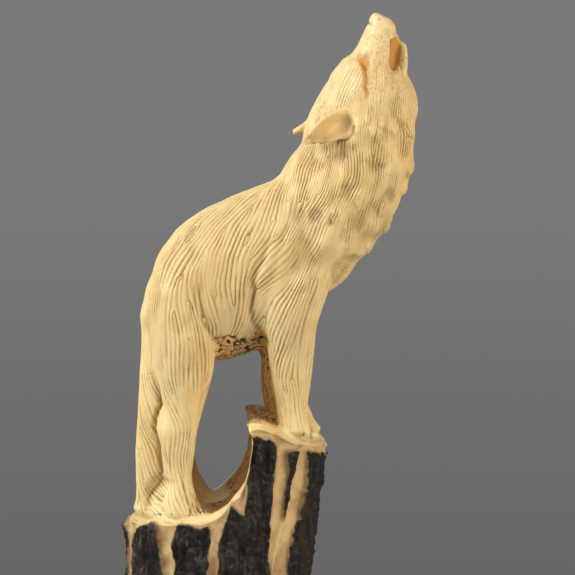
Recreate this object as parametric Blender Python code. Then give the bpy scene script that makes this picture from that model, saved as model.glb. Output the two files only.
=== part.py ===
"""A howling wolf standing on a stump, carved in one piece from a length of deer antler.

The script works in millimetres and writes metres, with +Z up. The origin is the centre of the sawn
face under the stump, and the wolf faces +X. Its near side, as a viewer sees it, is -Y.

Each form of the animal is a closed loft between two outlines in side view. A voxel remesh joins the
forms, carving passes then move the points of the joined surface, and a saw cut makes the bottom flat.
"""

import math

import bmesh
import bpy
import numpy as np
from mathutils import Matrix, Vector

MM = 0.001

# Stump: heights are from the sawn face, and half sizes are at its middle.
STUMP_HEIGHT = 50.5
STUMP_HALF_WIDTH = 20.8
STUMP_HALF_DEPTH = 17.0
STEP_HEIGHT = 22.5
STUMP_LEAN = 5.0
LEDGE_SKEW = 0.06
FORE_LEDGE = 0.74
CHANNEL_DEPTH = 0.95
CHANNEL_COVE = 0.75
COVE_REACH = 3.2
CHANNEL_EDGE = 0.4
CHANNEL_RIDGE_HEIGHT = 0.6
CHANNEL_RIDGE_HALF_WIDTH = 1.0
GIRTH = math.radians(1) * (STUMP_HALF_WIDTH + STUMP_HALF_DEPTH) / 2
TROUGH_HALF_WIDTH = 11.0
TROUGH_HALF_DEPTH = 1.9

# Wolf: half depths are across the body, from its middle plane or from the middle of a limb.
TORSO_HALF_DEPTH = 11.8
NECK_HALF_DEPTH = 10.8
MUZZLE_HALF_DEPTH = 5.6
JAW_HALF_DEPTH = 3.0
SHOULDER_HEIGHT = 62.0
LEG_SPREAD = 7.6
HIND_LEG_HALF_DEPTH = 4.6
FORE_LEG_HALF_DEPTH = 4.4
FAR_HIND_STRIDE = 4.5
FAR_FORE_STRIDE = 1.4
TAIL_HALF_DEPTH = 4.6
TAIL_SIDE = -1.0
MARROW_WEB_HALF_DEPTH = 4.6

# Head details. A place is (x, height above the rear ledge) in side view.
EAR_ROOT = (26.9, 86.6)
EAR_TIP = (17.4, 83.3)
EAR_ROOT_SIDE = 9.2
EAR_TIP_SIDE = 12.2
EAR_HALF_WIDTH = 3.3
EAR_HALF_THICKNESS = 1.15
EAR_CUP = 2.0
BROW_PLACE = (29.7, 96.4)
BROW_SIDE = 4.4
BROW_RADII = (3.4, 2.4, 4.2)
BROW_TURN = 25.0
NOSE_PLACE = (34.6, 108.5)
NOSE_RADII = (1.35, 2.1, 1.6)
NOSE_TURN = 28.0
MOUTH_PLACE = (39.0, 101.0)
MOUTH_GAP = 3.0
MOUTH_LENGTH = 7.6
MOUTH_TURN = 4.0
TONGUE_THICKNESS = 3.0
TONGUE_PLACE = (40.0, 100.0)
TONGUE_HALF_WIDTH = 1.6

# Paws
TOE_RADIUS = 1.45
TOE_TURN = 18.0
HIND_TOE_X = -4.4
FORE_TOE_X = 20.6
HEEL_MOUND_PLACE = (-12.6, 0.5)
HEEL_MOUND_RADII = (6.6, 10.0, 3.4)

# Surface
BROW_CREASE_DEPTH = 0.9
SHOULDER_CREASE_DEPTH = 0.8
HAUNCH_CREASE_DEPTH = 0.6
CREASE_HALF_WIDTH = 1.3
SMOOTH_HEAD_HEIGHT = 98.0
MANE_PLACE = (8.0, 46.0)
LOCK_WIDTH = 2.6
LOCK_DEPTH = 0.55
BARK_RIDGE_WIDTH = 2.6
BARK_RIDGE_LENGTH = 8.0
BARK_LUMP = 5.0
BARK_RIDGE_DEPTH = 0.55
VOXEL = 0.45
MOST_TRIANGLES = 11800
SEED = 7

RING_POINTS = 28
RINGS_PER_STATION = 5
SAW_ALLOWANCE = 3.0

BONE = (0.80, 0.66, 0.42, 1.0)


# Side view outlines. A station is (rear x, rear z, front x, front z, share of the half depth, share
# of the side offset). Heights here are above the rear ledge, where the hind paws stand.

TORSO = [
    (-16.4, 46.0, -15.4, 41.0, 0.5, 0),
    (-14.5, 53.4, -13.0, 35.5, 0.75, 0),
    (-10.7, 61.0, -6.5, 33.5, 0.92, 0),
    (-4.6, 66.6, -0.3, 33.0, 1.0, 0),
    (2.0, 69.6, 4.6, 34.0, 1.0, 0),
    (8.0, 71.8, 10.5, 36.5, 1.02, 0),
    (12.2, 73.2, 17.0, 39.5, 1.0, 0),
    (15.5, 76.0, 21.5, 45.5, 0.9, 0),
]
NECK = [
    (10.0, 60.0, 24.0, 47.6, 0.80, 0),
    (12.6, 67.5, 30.3, 53.5, 0.94, 0),
    (13.8, 74.0, 37.2, 61.3, 1.0, 0),
    (15.6, 78.3, 41.2, 71.0, 1.0, 0),
    (18.2, 82.5, 43.3, 79.2, 0.98, 0),
    (19.8, 87.5, 44.0, 87.2, 0.94, 0),
    (22.2, 92.0, 43.5, 92.6, 0.84, 0),
    (24.4, 96.3, 42.0, 96.6, 0.68, 0),
    (27.6, 100.0, 38.4, 99.6, 0.5, 0),
]
MUZZLE = [
    (26.8, 98.0, 38.6, 93.5, 1.1, 0),
    (29.8, 101.4, 38.8, 98.4, 0.92, 0),
    (31.0, 103.6, 39.6, 101.6, 0.78, 0),
    (32.3, 106.2, 39.9, 104.0, 0.68, 0),
    (33.2, 108.2, 38.9, 106.4, 0.6, 0),
    (33.9, 109.8, 37.0, 108.7, 0.46, 0),
]
LOWER_JAW = [
    (36.0, 90.0, 42.6, 91.5, 1.5, 0),
    (38.6, 95.0, 42.2, 95.4, 1.15, 0),
    (40.0, 99.4, 42.0, 99.4, 0.95, 0),
    (40.3, 102.6, 41.7, 102.9, 0.7, 0),
]
HIND_LEG = [
    (-14.5, 55.0, -1.0, 56.0, 1.0, 0.7),
    (-15.4, 46.0, -0.8, 46.0, 1.25, 0.85),
    (-15.2, 38.0, -0.7, 38.5, 1.3, 0.95),
    (-14.6, 32.0, -1.1, 32.8, 1.15, 1),
    (-13.4, 28.0, -2.1, 28.6, 1.02, 1),
    (-12.4, 24.8, -3.0, 25.3, 0.95, 1),
    (-13.0, 21.6, -4.0, 21.8, 0.92, 1),
    (-13.9, 18.8, -4.6, 18.6, 0.9, 1),
    (-12.8, 14.2, -5.2, 14.2, 0.8, 1),
    (-12.1, 9.5, -6.0, 9.6, 0.78, 1),
    (-12.2, 6.0, -5.6, 6.4, 0.9, 1),
    (-12.8, 3.4, -4.6, 3.2, 1.1, 1),
    (-12.8, 0.6, -4.0, 0.2, 1.2, 1),
]
TAIL = [
    (-15.6, 51.0, -6.0, 49.0, 0.8, 0),
    (-16.9, 44.0, -8.0, 43.0, 0.95, 0.2),
    (-17.3, 37.0, -9.0, 36.5, 1.0, 0.6),
    (-17.9, 29.5, -9.4, 29.5, 1.0, 1),
    (-18.4, 21.5, -9.0, 21.5, 1.0, 1),
    (-18.7, 13.5, -8.6, 13.5, 0.95, 1),
    (-18.8, 7.0, -9.0, 7.0, 0.9, 1),
    (-18.5, 2.6, -10.6, 2.6, 0.8, 1),
    (-17.8, -0.4, -12.4, -0.4, 0.6, 1),
]

# Heights in the next two tables are shares of the way up from the ledge under the fore paws to
# SHOULDER_HEIGHT.
FORE_LEG = [
    (10.4, 1.0, 23.0, 0.89, 0.9, 0.75),
    (8.2, 0.824, 24.5, 0.757, 1.2, 0.95),
    (8.0, 0.658, 22.8, 0.636, 1.25, 1),
    (9.2, 0.526, 21.4, 0.526, 1.15, 1),
    (10.4, 0.36, 20.8, 0.372, 1.02, 0.95),
    (11.5, 0.228, 19.8, 0.235, 0.94, 0.9),
    (12.2, 0.151, 19.4, 0.155, 0.88, 0.88),
    (12.7, 0.096, 20.6, 0.087, 0.98, 0.88),
    (13.2, 0.043, 21.4, 0.021, 1.08, 0.88),
    (13.8, 0.0, 21.0, -0.023, 1.0, 0.88),
]
MARROW_WEB = [
    (9.8, 0.493, 16.0, 0.493, 0.9, 0),
    (9.3, 0.339, 16.0, 0.339, 1, 0),
    (9.5, 0.217, 16.0, 0.206, 1, 0),
    (10.6, 0.118, 16.0, 0.096, 1, 0),
    (10.9, 0.052, 16.0, 0.03, 1, 0),
]

# Height of the ledge along X, as shares of the step's height above the rear ledge.
LEDGE_LINE = [
    (-32.0, -0.05),
    (-21.0, -0.035),
    (-12.0, 0.0),
    (-4.0, 0.02),
    (-1.0, 0.075),
    (1.2, 0.14),
    (2.8, 0.22),
    (4.7, 0.31),
    (6.1, 0.44),
    (6.9, 0.62),
    (7.1, 0.80),
    (6.0, 0.94),
    (9.2, 0.95),
    (12.8, 0.885),
    (16.5, 0.79),
    (21.3, 0.73),
    (25.2, 0.665),
    (34.0, 0.60),
]
# Stump sections: (share of the stump's height, share of the step's height, share of the half width,
# share of the half depth, share of the lean).
STUMP_SECTIONS = [
    (0.0, 0.0, 0.89, 0.91, 0.0),
    (0.36, 0.0, 0.95, 0.97, -0.04),
    (0.71, 0.0, 1.0, 1.0, -0.04),
    (0.95, 0.0, 1.03, 1.0, 0.12),
    (1.0, 0.25, 1.02, 0.98, 0.44),
    (1.0, 0.65, 0.99, 0.95, 0.90),
    (1.0, 1.15, 0.98, 0.90, 1.1),
]
# Middle line of the spongy trough down the ramp: (x, share of the step's height).
TROUGH_LINE = [
    (-4.4, 0.07),
    (-0.4, 0.10),
    (2.4, 0.22),
    (4.5, 0.36),
    (5.6, 0.52),
    (5.9, 0.66),
    (5.9, 0.80),
]
# Bark panels left standing between the carved channels, as (degrees round the stump from its near
# side towards the front, height from the rear ledge). A height above the ledge is a share of the step's
# height, and one below it is in millimetres. FOOT is below the sawn face.
FOOT = -70.0
BARK_PANELS = [
    [(-77, FOOT), (-76, -5), (-67, -3.4), (-59, -1.2), (-52, 0), (-47, -1.4), (-43, -6), (-38.5, -14), (-36.5, FOOT)],
    [
        (-34, FOOT), (-33, -8), (-33, -1.2), (-30, 0), (-24, -0.3), (-16, -1.4), (-12, -0.3), (-10, -1.8),
        (-10, FOOT),
    ],
    [
        (-4, FOOT), (-4, -6), (-3, -1), (-1, 0.2), (5, 0.11), (8, 0.07), (7.6, 0.25), (4.6, 0.44), (3, 0.69),
        (1.5, 0.82), (8, 0.84), (15, 0.81), (19.5, 0.78), (22, 0.72), (24, 0.44), (23.8, 0.29), (25.8, 0.09),
        (28.3, -4.6), (30.8, -12.4), (31, FOOT),
    ],
    [
        (28.6, 0.65), (31, 0.675), (36.7, 0.675), (37.2, 0.53), (37.2, 0.27), (37.5, 0.1), (36.7, -0.6),
        (34.5, 0.1), (33.6, 0.2), (32.5, 0.4),
    ],
    [
        (44.5, FOOT), (44.5, -12.4), (45.5, -4.6), (49.5, -0.2), (49.5, 0.19), (51, 0.29), (48, 0.5), (46, 0.66),
        (60, 0.61), (80, 0.56), (100, 0.56), (118, 0.56),
        (122, 0.27), (120, FOOT),
    ],
    [(128, FOOT), (128, 0.44), (134, 0.64), (146, 0.74), (152, 0.69), (155, 0.27), (153, FOOT)],
    [(161, FOOT), (161, 0.36), (166, 0.58), (172, 0.4), (178, 0.07), (186, -1.2), (196, -2.4), (197, FOOT)],
    [(203, FOOT), (203, -3), (212, -1), (226, -1.7), (236, -4), (238, FOOT)],
    [(245, FOOT), (245, -6), (256, -1.8), (268, -3.2), (276, -7), (275, FOOT)],
]
BARK_START = -83.0
# The ridge left between two channels where they run together, in the same terms.
CHANNEL_RIDGE = [(36.7, -0.6), (34.0, -4.6), (32.8, -7.3), (31.2, -12.8)]

# The ear's outline: (share of the way from root to tip, share of the half width).
EAR_LEAF = [(-0.16, 0.75), (0.0, 0.95), (0.2, 1.05), (0.45, 0.97), (0.7, 0.68), (0.9, 0.34), (1.0, 0.14)]

# Creases cut into both sides of the animal, as lines of (x, height above the rear ledge).
BROW_CREASE = [(30.2, 100.6), (31.5, 98.7), (32.1, 97.1), (31.9, 95.8), (31.2, 93.8)]
SHOULDER_CREASE = [
    (10.0, 60.4), (8.7, 56.6), (6.7, 52.6), (6.9, 50.0), (6.3, 46.4), (6.7, 43.3), (8.7, 40.4), (9.8, 38.2),
]
HAUNCH_CREASE = [(-5.0, 50.2), (-4.3, 46.0), (-3.0, 42.6), (-2.3, 40.9), (-0.6, 38.6)]

# Directions in which the fur lies in side view: (x, height above the ledge, along x, along z).
FUR_GUIDES = [
    (-15, 50, -0.2, -1), (-10, 58, -0.6, -0.8), (-2, 64, -0.7, -0.7), (6, 68, -0.7, -0.6),
    (12, 70, -0.6, -0.8), (-4, 52, -0.25, -1), (4, 54, -0.35, -1), (0, 42, 0.0, -1),
    (6, 42, -0.1, -1), (-10, 40, 0.1, -1), (-8, 28, -0.1, -1), (-9, 15, 0.05, -1),
    (-8, 4, 0.25, -1), (14, 58, -0.5, -1), (18, 48, -0.45, -1), (20, 58, -0.2, -1),
    (15, 38, -0.25, -1), (16, 25, 0.0, -1), (18, 18, 0.3, -0.9), (28, 60, -0.35, -1),
    (20, 72, -0.4, -1), (30, 75, -0.15, -1), (40, 80, -0.1, -1), (40, 66, -0.3, -1),
    (24, 84, -0.5, -0.9), (36, 88, 0.0, -1), (28, 94, -0.5, -0.9), (38, 96, 0.1, -1),
    (33, 104, -0.4, -1), (-17, 20, 0.2, -1), (-16, 8, 0.3, -1), (-17, 36, 0.0, -1),
]


def ledge_z(share):
    """Height in millimetres above the sawn face of a share of the step."""
    return STUMP_HEIGHT + share * STEP_HEIGHT


def smooth_rows(rows, per_row):
    """Rows of a table, joined by a Catmull-Rom curve with per_row samples to each interval."""
    rows = np.array(rows, float)
    padded = np.vstack([2 * rows[0] - rows[1], rows, 2 * rows[-1] - rows[-2]])
    made = []
    for i in range(len(rows) - 1):
        before, start, end, after = padded[i : i + 4]
        for t in np.arange(per_row) / per_row:
            slope = -before + end
            bend = 2 * before - 5 * start + 4 * end - after
            twist = -before + 3 * start - 3 * end + after
            made.append(0.5 * (2 * start + slope * t + bend * t**2 + twist * t**3))
    made.append(rows[-1])
    return np.array(made)


def skin_rings(name, rings, first_tip, last_tip):
    """A closed mesh object over a row of rings of points, with a point at each end."""
    bm = bmesh.new()
    loops = [[bm.verts.new(Vector(p) * MM) for p in ring] for ring in rings]
    for lower, upper in zip(loops, loops[1:]):
        for i in range(len(lower)):
            j = (i + 1) % len(lower)
            bm.faces.new((lower[i], lower[j], upper[j], upper[i]))
    for loop, tip in ((loops[0], first_tip), (loops[-1], last_tip)):
        point = bm.verts.new(Vector(tip) * MM)
        for i in range(len(loop)):
            bm.faces.new((loop[i], loop[(i + 1) % len(loop)], point))
    bmesh.ops.recalc_face_normals(bm, faces=bm.faces)
    mesh = bpy.data.meshes.new(name)
    bm.to_mesh(mesh)
    bm.free()
    made = bpy.data.objects.new(name, mesh)
    bpy.context.scene.collection.objects.link(made)
    return made


def above_fore_ledge(stations):
    """Stations with their shares of the fore leg's height turned into heights above the rear ledge."""
    foot = FORE_LEDGE * STEP_HEIGHT
    tall = SHOULDER_HEIGHT - foot
    return [(x, foot + z * tall, front_x, foot + front_z * tall, depth, side)
            for x, z, front_x, front_z, depth, side in stations]


def limb(name, stations, half_depth, side=0.0, base=STUMP_HEIGHT, stride=0.0, stride_top=18.0, round_end=0.35):
    """A loft between a rear and a front outline, with elliptical rings and rounded ends.

    stride moves the lower stations towards +X: fully at the lowest, and not at all at stride_top above it.
    """
    rows = smooth_rows(stations, RINGS_PER_STATION)
    rear = np.column_stack([rows[:, 0], np.zeros(len(rows)), rows[:, 1] + base])
    front = np.column_stack([rows[:, 2], np.zeros(len(rows)), rows[:, 3] + base])
    middle = (rear + front) / 2
    climb = middle[:, 2] - middle[:, 2].min()
    middle[:, 0] += stride * np.clip(1 - climb / stride_top, 0, 1) ** 1.5
    middle[:, 1] = rows[:, 5] * side
    reach = (front - rear) / 2
    depth = rows[:, 4] * half_depth
    angles = np.arange(RING_POINTS) * 2 * math.pi / RING_POINTS
    across = np.array([0.0, 1.0, 0.0])

    def ring(i, shrink, shift):
        flat = np.outer(np.cos(angles), reach[i]) + np.outer(np.sin(angles), across * depth[i])
        return middle[i] + shift + flat * shrink

    rings = []
    tips = []
    last = len(rows) - 1
    for i, step in ((0, 1), (last, -1)):
        outward = middle[i] - middle[i + step]
        outward /= np.linalg.norm(outward)
        bulge = outward * np.linalg.norm(reach[i]) * round_end * 2
        cap = [ring(i, math.cos(t), bulge * math.sin(t)) for t in (math.radians(30), math.radians(60))]
        rings.append(cap[::-1] if i == 0 else cap)
        tips.append(middle[i] + bulge)
    body = [ring(i, 1.0, 0.0) for i in range(len(rows))]
    return skin_rings(name, rings[0] + body + rings[1], tips[0], tips[1])


def ball(name, centre, radii, turn_y=0.0):
    """An ellipsoid, turned about the Y axis by degrees."""
    bm = bmesh.new()
    bmesh.ops.create_icosphere(bm, subdivisions=3, radius=1.0)
    place = Matrix.Translation(Vector(centre) * MM) @ Matrix.Rotation(math.radians(turn_y), 4, "Y")
    size = Matrix.Diagonal((*(r * MM for r in radii), 1.0))
    bmesh.ops.transform(bm, matrix=place @ size, verts=bm.verts)
    mesh = bpy.data.meshes.new(name)
    bm.to_mesh(mesh)
    bm.free()
    made = bpy.data.objects.new(name, mesh)
    bpy.context.scene.collection.objects.link(made)
    return made


def ear(name, side):
    """A leaf laid back from the skull, cupped towards the outside. side is -1 for the near ear."""
    root = np.array([EAR_ROOT[0], side * EAR_ROOT_SIDE, STUMP_HEIGHT + EAR_ROOT[1]])
    tip = np.array([EAR_TIP[0], side * EAR_TIP_SIDE, STUMP_HEIGHT + EAR_TIP[1]])
    axis = (tip - root) / np.linalg.norm(tip - root)
    facing = np.array([0.0, side, 0.0]) - axis * side * axis[1]
    facing /= np.linalg.norm(facing)
    width_way = np.cross(axis, facing)
    rows = smooth_rows(EAR_LEAF, 4)
    angles = np.arange(RING_POINTS) * 2 * math.pi / RING_POINTS
    rings = []
    for along, width in rows:
        u = np.cos(angles)
        v = np.sin(angles)
        cup = EAR_CUP * width * (u**2 - 0.5)
        thick = EAR_HALF_THICKNESS * (0.5 + 0.5 * width) * v
        centre = root + (tip - root) * along
        rings.append(centre + np.outer(u * width * EAR_HALF_WIDTH, width_way) + np.outer(cup + thick, facing))
    return skin_rings(name, rings, root - (tip - root) * 0.18, root + (tip - root) * 1.01)


def paw_toes(name, centre_x, centre_y, height, half_depth):
    """Four toes in a row across the front of a paw."""
    made = []
    for i, share in enumerate((-0.72, -0.25, 0.25, 0.72)):
        back = 0.9 * abs(share)
        centre = (centre_x - back, centre_y + share * half_depth, height + TOE_RADIUS * 0.7)
        radii = (TOE_RADIUS * 1.5, TOE_RADIUS * 0.85, TOE_RADIUS)
        made.append(ball(f"{name}_{i}", centre, radii, turn_y=TOE_TURN))
    return made


def stump():
    """The length of antler, before the ledge is cut."""
    rows = []
    for stump_share, step_share, width, depth, lean in STUMP_SECTIONS:
        height = stump_share * STUMP_HEIGHT + step_share * STEP_HEIGHT
        if not rows:
            height = -SAW_ALLOWANCE
        rows.append((height, width * STUMP_HALF_WIDTH, depth * STUMP_HALF_DEPTH, lean * STUMP_LEAN))
    rows = smooth_rows(rows, RINGS_PER_STATION)
    angles = np.arange(48) * 2 * math.pi / 48
    rings = [
        np.column_stack([x + w * np.cos(angles), d * np.sin(angles), np.full(len(angles), z)])
        for z, w, d, x in rows
    ]
    first, last = rows[0], rows[-1]
    return skin_rings("stump", rings, (first[3], 0, first[0]), (last[3], 0, last[0]))


def stump_axis(z):
    """The stump's middle x, half width and half depth at heights z in millimetres."""
    sections = np.array(STUMP_SECTIONS)
    heights = sections[:, 0] * STUMP_HEIGHT + sections[:, 1] * STEP_HEIGHT
    x = np.interp(z, heights, sections[:, 4] * STUMP_LEAN)
    width = np.interp(z, heights, sections[:, 2] * STUMP_HALF_WIDTH)
    depth = np.interp(z, heights, sections[:, 3] * STUMP_HALF_DEPTH)
    return x, width, depth


def ledge_cutter():
    """Everything above the ledge line, right through the stump."""
    line = smooth_rows([(x, ledge_z(share)) for x, share in LEDGE_LINE], 4)
    top = ledge_z(2.2)
    outline = [*line, (line[-1][0], top), (line[0][0], top)]
    bm = bmesh.new()
    near = -STUMP_HALF_DEPTH * 1.5
    base = bm.faces.new([bm.verts.new((x * MM, near * MM, z * MM)) for x, z in outline])
    moved = bmesh.ops.extrude_face_region(bm, geom=[base])["geom"]
    away = Vector((0, -2 * near * MM, 0))
    bmesh.ops.translate(bm, vec=away, verts=[v for v in moved if isinstance(v, bmesh.types.BMVert)])
    for v in bm.verts:
        v.co.x += LEDGE_SKEW * v.co.y
    bmesh.ops.recalc_face_normals(bm, faces=bm.faces)
    mesh = bpy.data.meshes.new("ledge_cutter")
    bm.to_mesh(mesh)
    bm.free()
    made = bpy.data.objects.new("ledge_cutter", mesh)
    bpy.context.scene.collection.objects.link(made)
    return made


def trough_cutter():
    """A flat tube that hollows the ramp between its near and far rims."""
    half = TROUGH_HALF_DEPTH
    stations = [(x - half, share * STEP_HEIGHT + half * 0.4, x + half, share * STEP_HEIGHT - half * 0.4, 1, 0)
                for x, share in TROUGH_LINE]
    return limb("trough_cutter", stations, TROUGH_HALF_WIDTH)


def mouth_cutter(side):
    """The gap between the jaws on one side. The tongue between the two gaps stays."""
    centre_side = side * (TONGUE_THICKNESS / 2 + JAW_HALF_DEPTH)
    radii = (MOUTH_GAP / 2, JAW_HALF_DEPTH, MOUTH_LENGTH / 2)
    centre = (MOUTH_PLACE[0], centre_side, STUMP_HEIGHT + MOUTH_PLACE[1])
    return ball(f"mouth_cutter_{side}", centre, radii, turn_y=MOUTH_TURN)


def cut(target, cutters):
    """Boolean differences, applied."""
    for cutter in cutters:
        modifier = target.modifiers.new(cutter.name, "BOOLEAN")
        modifier.operation = "DIFFERENCE"
        modifier.solver = "EXACT"
        modifier.object = cutter
    apply_modifiers(target)
    for cutter in cutters:
        bpy.data.objects.remove(cutter)


def apply_modifiers(target):
    """Replaces the object's mesh with what its modifiers make of it."""
    bpy.context.view_layer.update()
    graph = bpy.context.evaluated_depsgraph_get()
    mesh = bpy.data.meshes.new_from_object(target.evaluated_get(graph))
    target.modifiers.clear()
    target.data = mesh


def joined(name, parts):
    """One object that holds the meshes of all parts."""
    bm = bmesh.new()
    for part in parts:
        bm.from_mesh(part.data)
        bpy.data.objects.remove(part)
    mesh = bpy.data.meshes.new(name)
    bm.to_mesh(mesh)
    bm.free()
    made = bpy.data.objects.new(name, mesh)
    bpy.context.scene.collection.objects.link(made)
    return made


def wolf_forms():
    """The animal's forms, from tail to nose."""
    forms = [
        limb("torso", TORSO, TORSO_HALF_DEPTH),
        limb("neck", NECK, NECK_HALF_DEPTH, round_end=0.1),
        limb("muzzle", MUZZLE, MUZZLE_HALF_DEPTH, round_end=0.15),
        limb("lower_jaw", LOWER_JAW, JAW_HALF_DEPTH),
        limb("tail", TAIL, TAIL_HALF_DEPTH, TAIL_SIDE),
        limb("marrow_web", above_fore_ledge(MARROW_WEB), MARROW_WEB_HALF_DEPTH),
    ]
    fore_leg = above_fore_ledge(FORE_LEG)
    for side, hind_stride, fore_stride in ((-1, 0, 0), (1, FAR_HIND_STRIDE, FAR_FORE_STRIDE)):
        spread = side * LEG_SPREAD
        forms.append(limb(f"hind_leg_{side}", HIND_LEG, HIND_LEG_HALF_DEPTH, spread, stride=hind_stride))
        forms.append(limb(f"fore_leg_{side}", fore_leg, FORE_LEG_HALF_DEPTH, spread, stride=fore_stride))
        forms.append(ear(f"ear_{side}", side))
        hind_x = HIND_TOE_X + hind_stride
        forms += paw_toes(f"hind_toes_{side}", hind_x, spread, STUMP_HEIGHT, HIND_LEG_HALF_DEPTH)
        fore_x = FORE_TOE_X + fore_stride
        fore_height = ledge_height(fore_x)
        forms += paw_toes(f"fore_toes_{side}", fore_x, spread * 0.88, fore_height, FORE_LEG_HALF_DEPTH)
        brow = (BROW_PLACE[0], side * BROW_SIDE, STUMP_HEIGHT + BROW_PLACE[1])
        forms.append(ball(f"brow_{side}", brow, BROW_RADII, turn_y=BROW_TURN))
    mound = (*HEEL_MOUND_PLACE, STUMP_HEIGHT + 0.4)
    forms.append(ball("heel_mound", mound, HEEL_MOUND_RADII))
    nose = (NOSE_PLACE[0], 0, STUMP_HEIGHT + NOSE_PLACE[1])
    forms.append(ball("nose", nose, NOSE_RADII, turn_y=NOSE_TURN))
    tongue = (TONGUE_PLACE[0], 0, STUMP_HEIGHT + TONGUE_PLACE[1])
    forms.append(ball("tongue", tongue, (TONGUE_HALF_WIDTH, TONGUE_THICKNESS / 2, MOUTH_LENGTH / 2)))
    return forms


def inside_distance(points, outline):
    """Distance of each point to a closed outline, positive inside it."""
    outline = np.array(outline, float)
    nearest = np.full(len(points), np.inf)
    inside = np.zeros(len(points), bool)
    for start, end in zip(outline, np.roll(outline, -1, axis=0)):
        way = end - start
        t = np.clip((points - start) @ way / (way @ way), 0, 1)
        nearest = np.minimum(nearest, np.linalg.norm(points - start - t[:, None] * way, axis=1))
        crosses = (start[1] > points[:, 1]) != (end[1] > points[:, 1])
        rise = np.where(crosses, points[:, 1] - start[1], 0) / (way[1] if way[1] else 1)
        inside ^= crosses & (points[:, 0] < start[0] + rise * way[0])
    return np.where(inside, nearest, -nearest)


def line_distance(points, line):
    """Distance of each point to an open line."""
    nearest = np.full(len(points), np.inf)
    for start, end in zip(np.array(line[:-1]), np.array(line[1:])):
        way = end - start
        t = np.clip((points - start) @ way / (way @ way), 0, 1)
        nearest = np.minimum(nearest, np.linalg.norm(points - start - t[:, None] * way, axis=1))
    return nearest


def unrolled(points):
    """Each point of the stump's side, as (way round in millimetres, height above the rear ledge)."""
    x, width, depth = stump_axis(points[:, 2])
    angle = np.degrees(np.arctan2((points[:, 0] - x) / width, -points[:, 1] / depth))
    angle = (angle - BARK_START) % 360 + BARK_START
    return np.column_stack([angle * GIRTH, points[:, 2] - STUMP_HEIGHT])


def unrolled_line(line):
    """A line round the stump's side, in the same terms as unrolled points."""
    return [(a * GIRTH, z * STEP_HEIGHT if z > 0 else z) for a, z in line]


def bark_distance(points):
    """Distance of each point of the stump's side to the nearest edge of the bark, positive on bark."""
    flat = unrolled(points)
    best = np.full(len(points), -np.inf)
    for panel in BARK_PANELS:
        best = np.maximum(best, inside_distance(flat, unrolled_line(panel)))
    return best


def value_noise(points, cell, seed):
    """Smooth random values from -1 to 1, on a lattice with cells of that size in millimetres."""
    table = np.random.default_rng(seed).uniform(-1, 1, (64, 64, 64))
    scaled = points / cell
    low = np.floor(scaled).astype(int)
    t = scaled - low
    t = t * t * (3 - 2 * t)
    total = np.zeros(len(points))
    for dx in (0, 1):
        for dy in (0, 1):
            for dz in (0, 1):
                weight = (
                    (t[:, 0] if dx else 1 - t[:, 0])
                    * (t[:, 1] if dy else 1 - t[:, 1])
                    * (t[:, 2] if dz else 1 - t[:, 2])
                )
                corner = (low + (dx, dy, dz)) % 64
                total += weight * table[corner[:, 0], corner[:, 1], corner[:, 2]]
    return total


def bark_depth(points):
    """How deep the bark is sunk at each point of the stump's side, between upright ridges and lumps."""
    x, width, depth = stump_axis(points[:, 2])
    angle = np.arctan2((points[:, 0] - x) / width, -points[:, 1] / depth)
    ring = np.column_stack([width * np.sin(angle), -depth * np.cos(angle)])
    ridges = value_noise(np.column_stack([ring / BARK_RIDGE_WIDTH, points[:, 2] / BARK_RIDGE_LENGTH]), 1.0, SEED + 2)
    lumps = value_noise(np.column_stack([ring, points[:, 2]]), BARK_LUMP, SEED + 4)
    return BARK_RIDGE_DEPTH * np.clip(0.8 - 0.9 * ridges - 0.6 * lumps, 0, 1.7)


def fur_direction(points, normals):
    """The way the fur lies at each point, along the surface."""
    guides = np.array(FUR_GUIDES, float)
    dx = points[:, None, 0] - guides[None, :, 0]
    dz = points[:, None, 2] - STUMP_HEIGHT - guides[None, :, 1]
    weight = 1 / (dx**2 + dz**2 + 4) ** 1.5
    weight /= weight.sum(1, keepdims=True)
    way = np.column_stack([weight @ guides[:, 2], np.zeros(len(points)), weight @ guides[:, 3]])
    way[:, 1] += 0.8 * np.clip(normals[:, 2], 0, 1) * np.tanh(points[:, 1] / 4)
    way[:, 0] += 0.22 * value_noise(points, 9, SEED + 1)
    way -= normals * np.einsum("ij,ij->i", way, normals)[:, None]
    return way / np.maximum(np.linalg.norm(way, axis=1), 1e-9)[:, None]


def combed_noise(points, normals, neighbours, way, cell, reach, seed):
    """Noise drawn out along the flow of way over the surface, with a spread of 1."""
    step = cell * 0.4
    total = value_noise(points, cell, seed)
    for sign in (1, -1):
        place = points.copy()
        at = np.arange(len(points))
        for k in range(1, int(reach / step) + 1):
            place = place + sign * step * way[at]
            near = neighbours[at]
            gap = ((points[near] - place[:, None, :]) ** 2).sum(2)
            at = near[np.arange(len(at)), gap.argmin(1)]
            off = np.einsum("ij,ij->i", place - points[at], normals[at])
            place -= normals[at] * off[:, None]
            fade = 0.5 + 0.5 * math.cos(math.pi * k * step / reach)
            total += fade * value_noise(place, cell, seed)
    return total / total.std()


def neighbour_table(mesh, width=8):
    """For each point, itself and up to width - 1 points that share a face with it."""
    count = len(mesh.vertices)
    ends = np.array([e.vertices for e in mesh.edges])
    ends = np.vstack([ends, ends[:, ::-1]])
    ends = ends[np.argsort(ends[:, 0], kind="stable")]
    start = np.searchsorted(ends[:, 0], np.arange(count))
    rank = np.arange(len(ends)) - start[ends[:, 0]]
    table = np.repeat(np.arange(count)[:, None], width, axis=1)
    kept = rank < width - 1
    table[ends[kept, 0], rank[kept] + 1] = ends[kept, 1]
    return table


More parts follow.
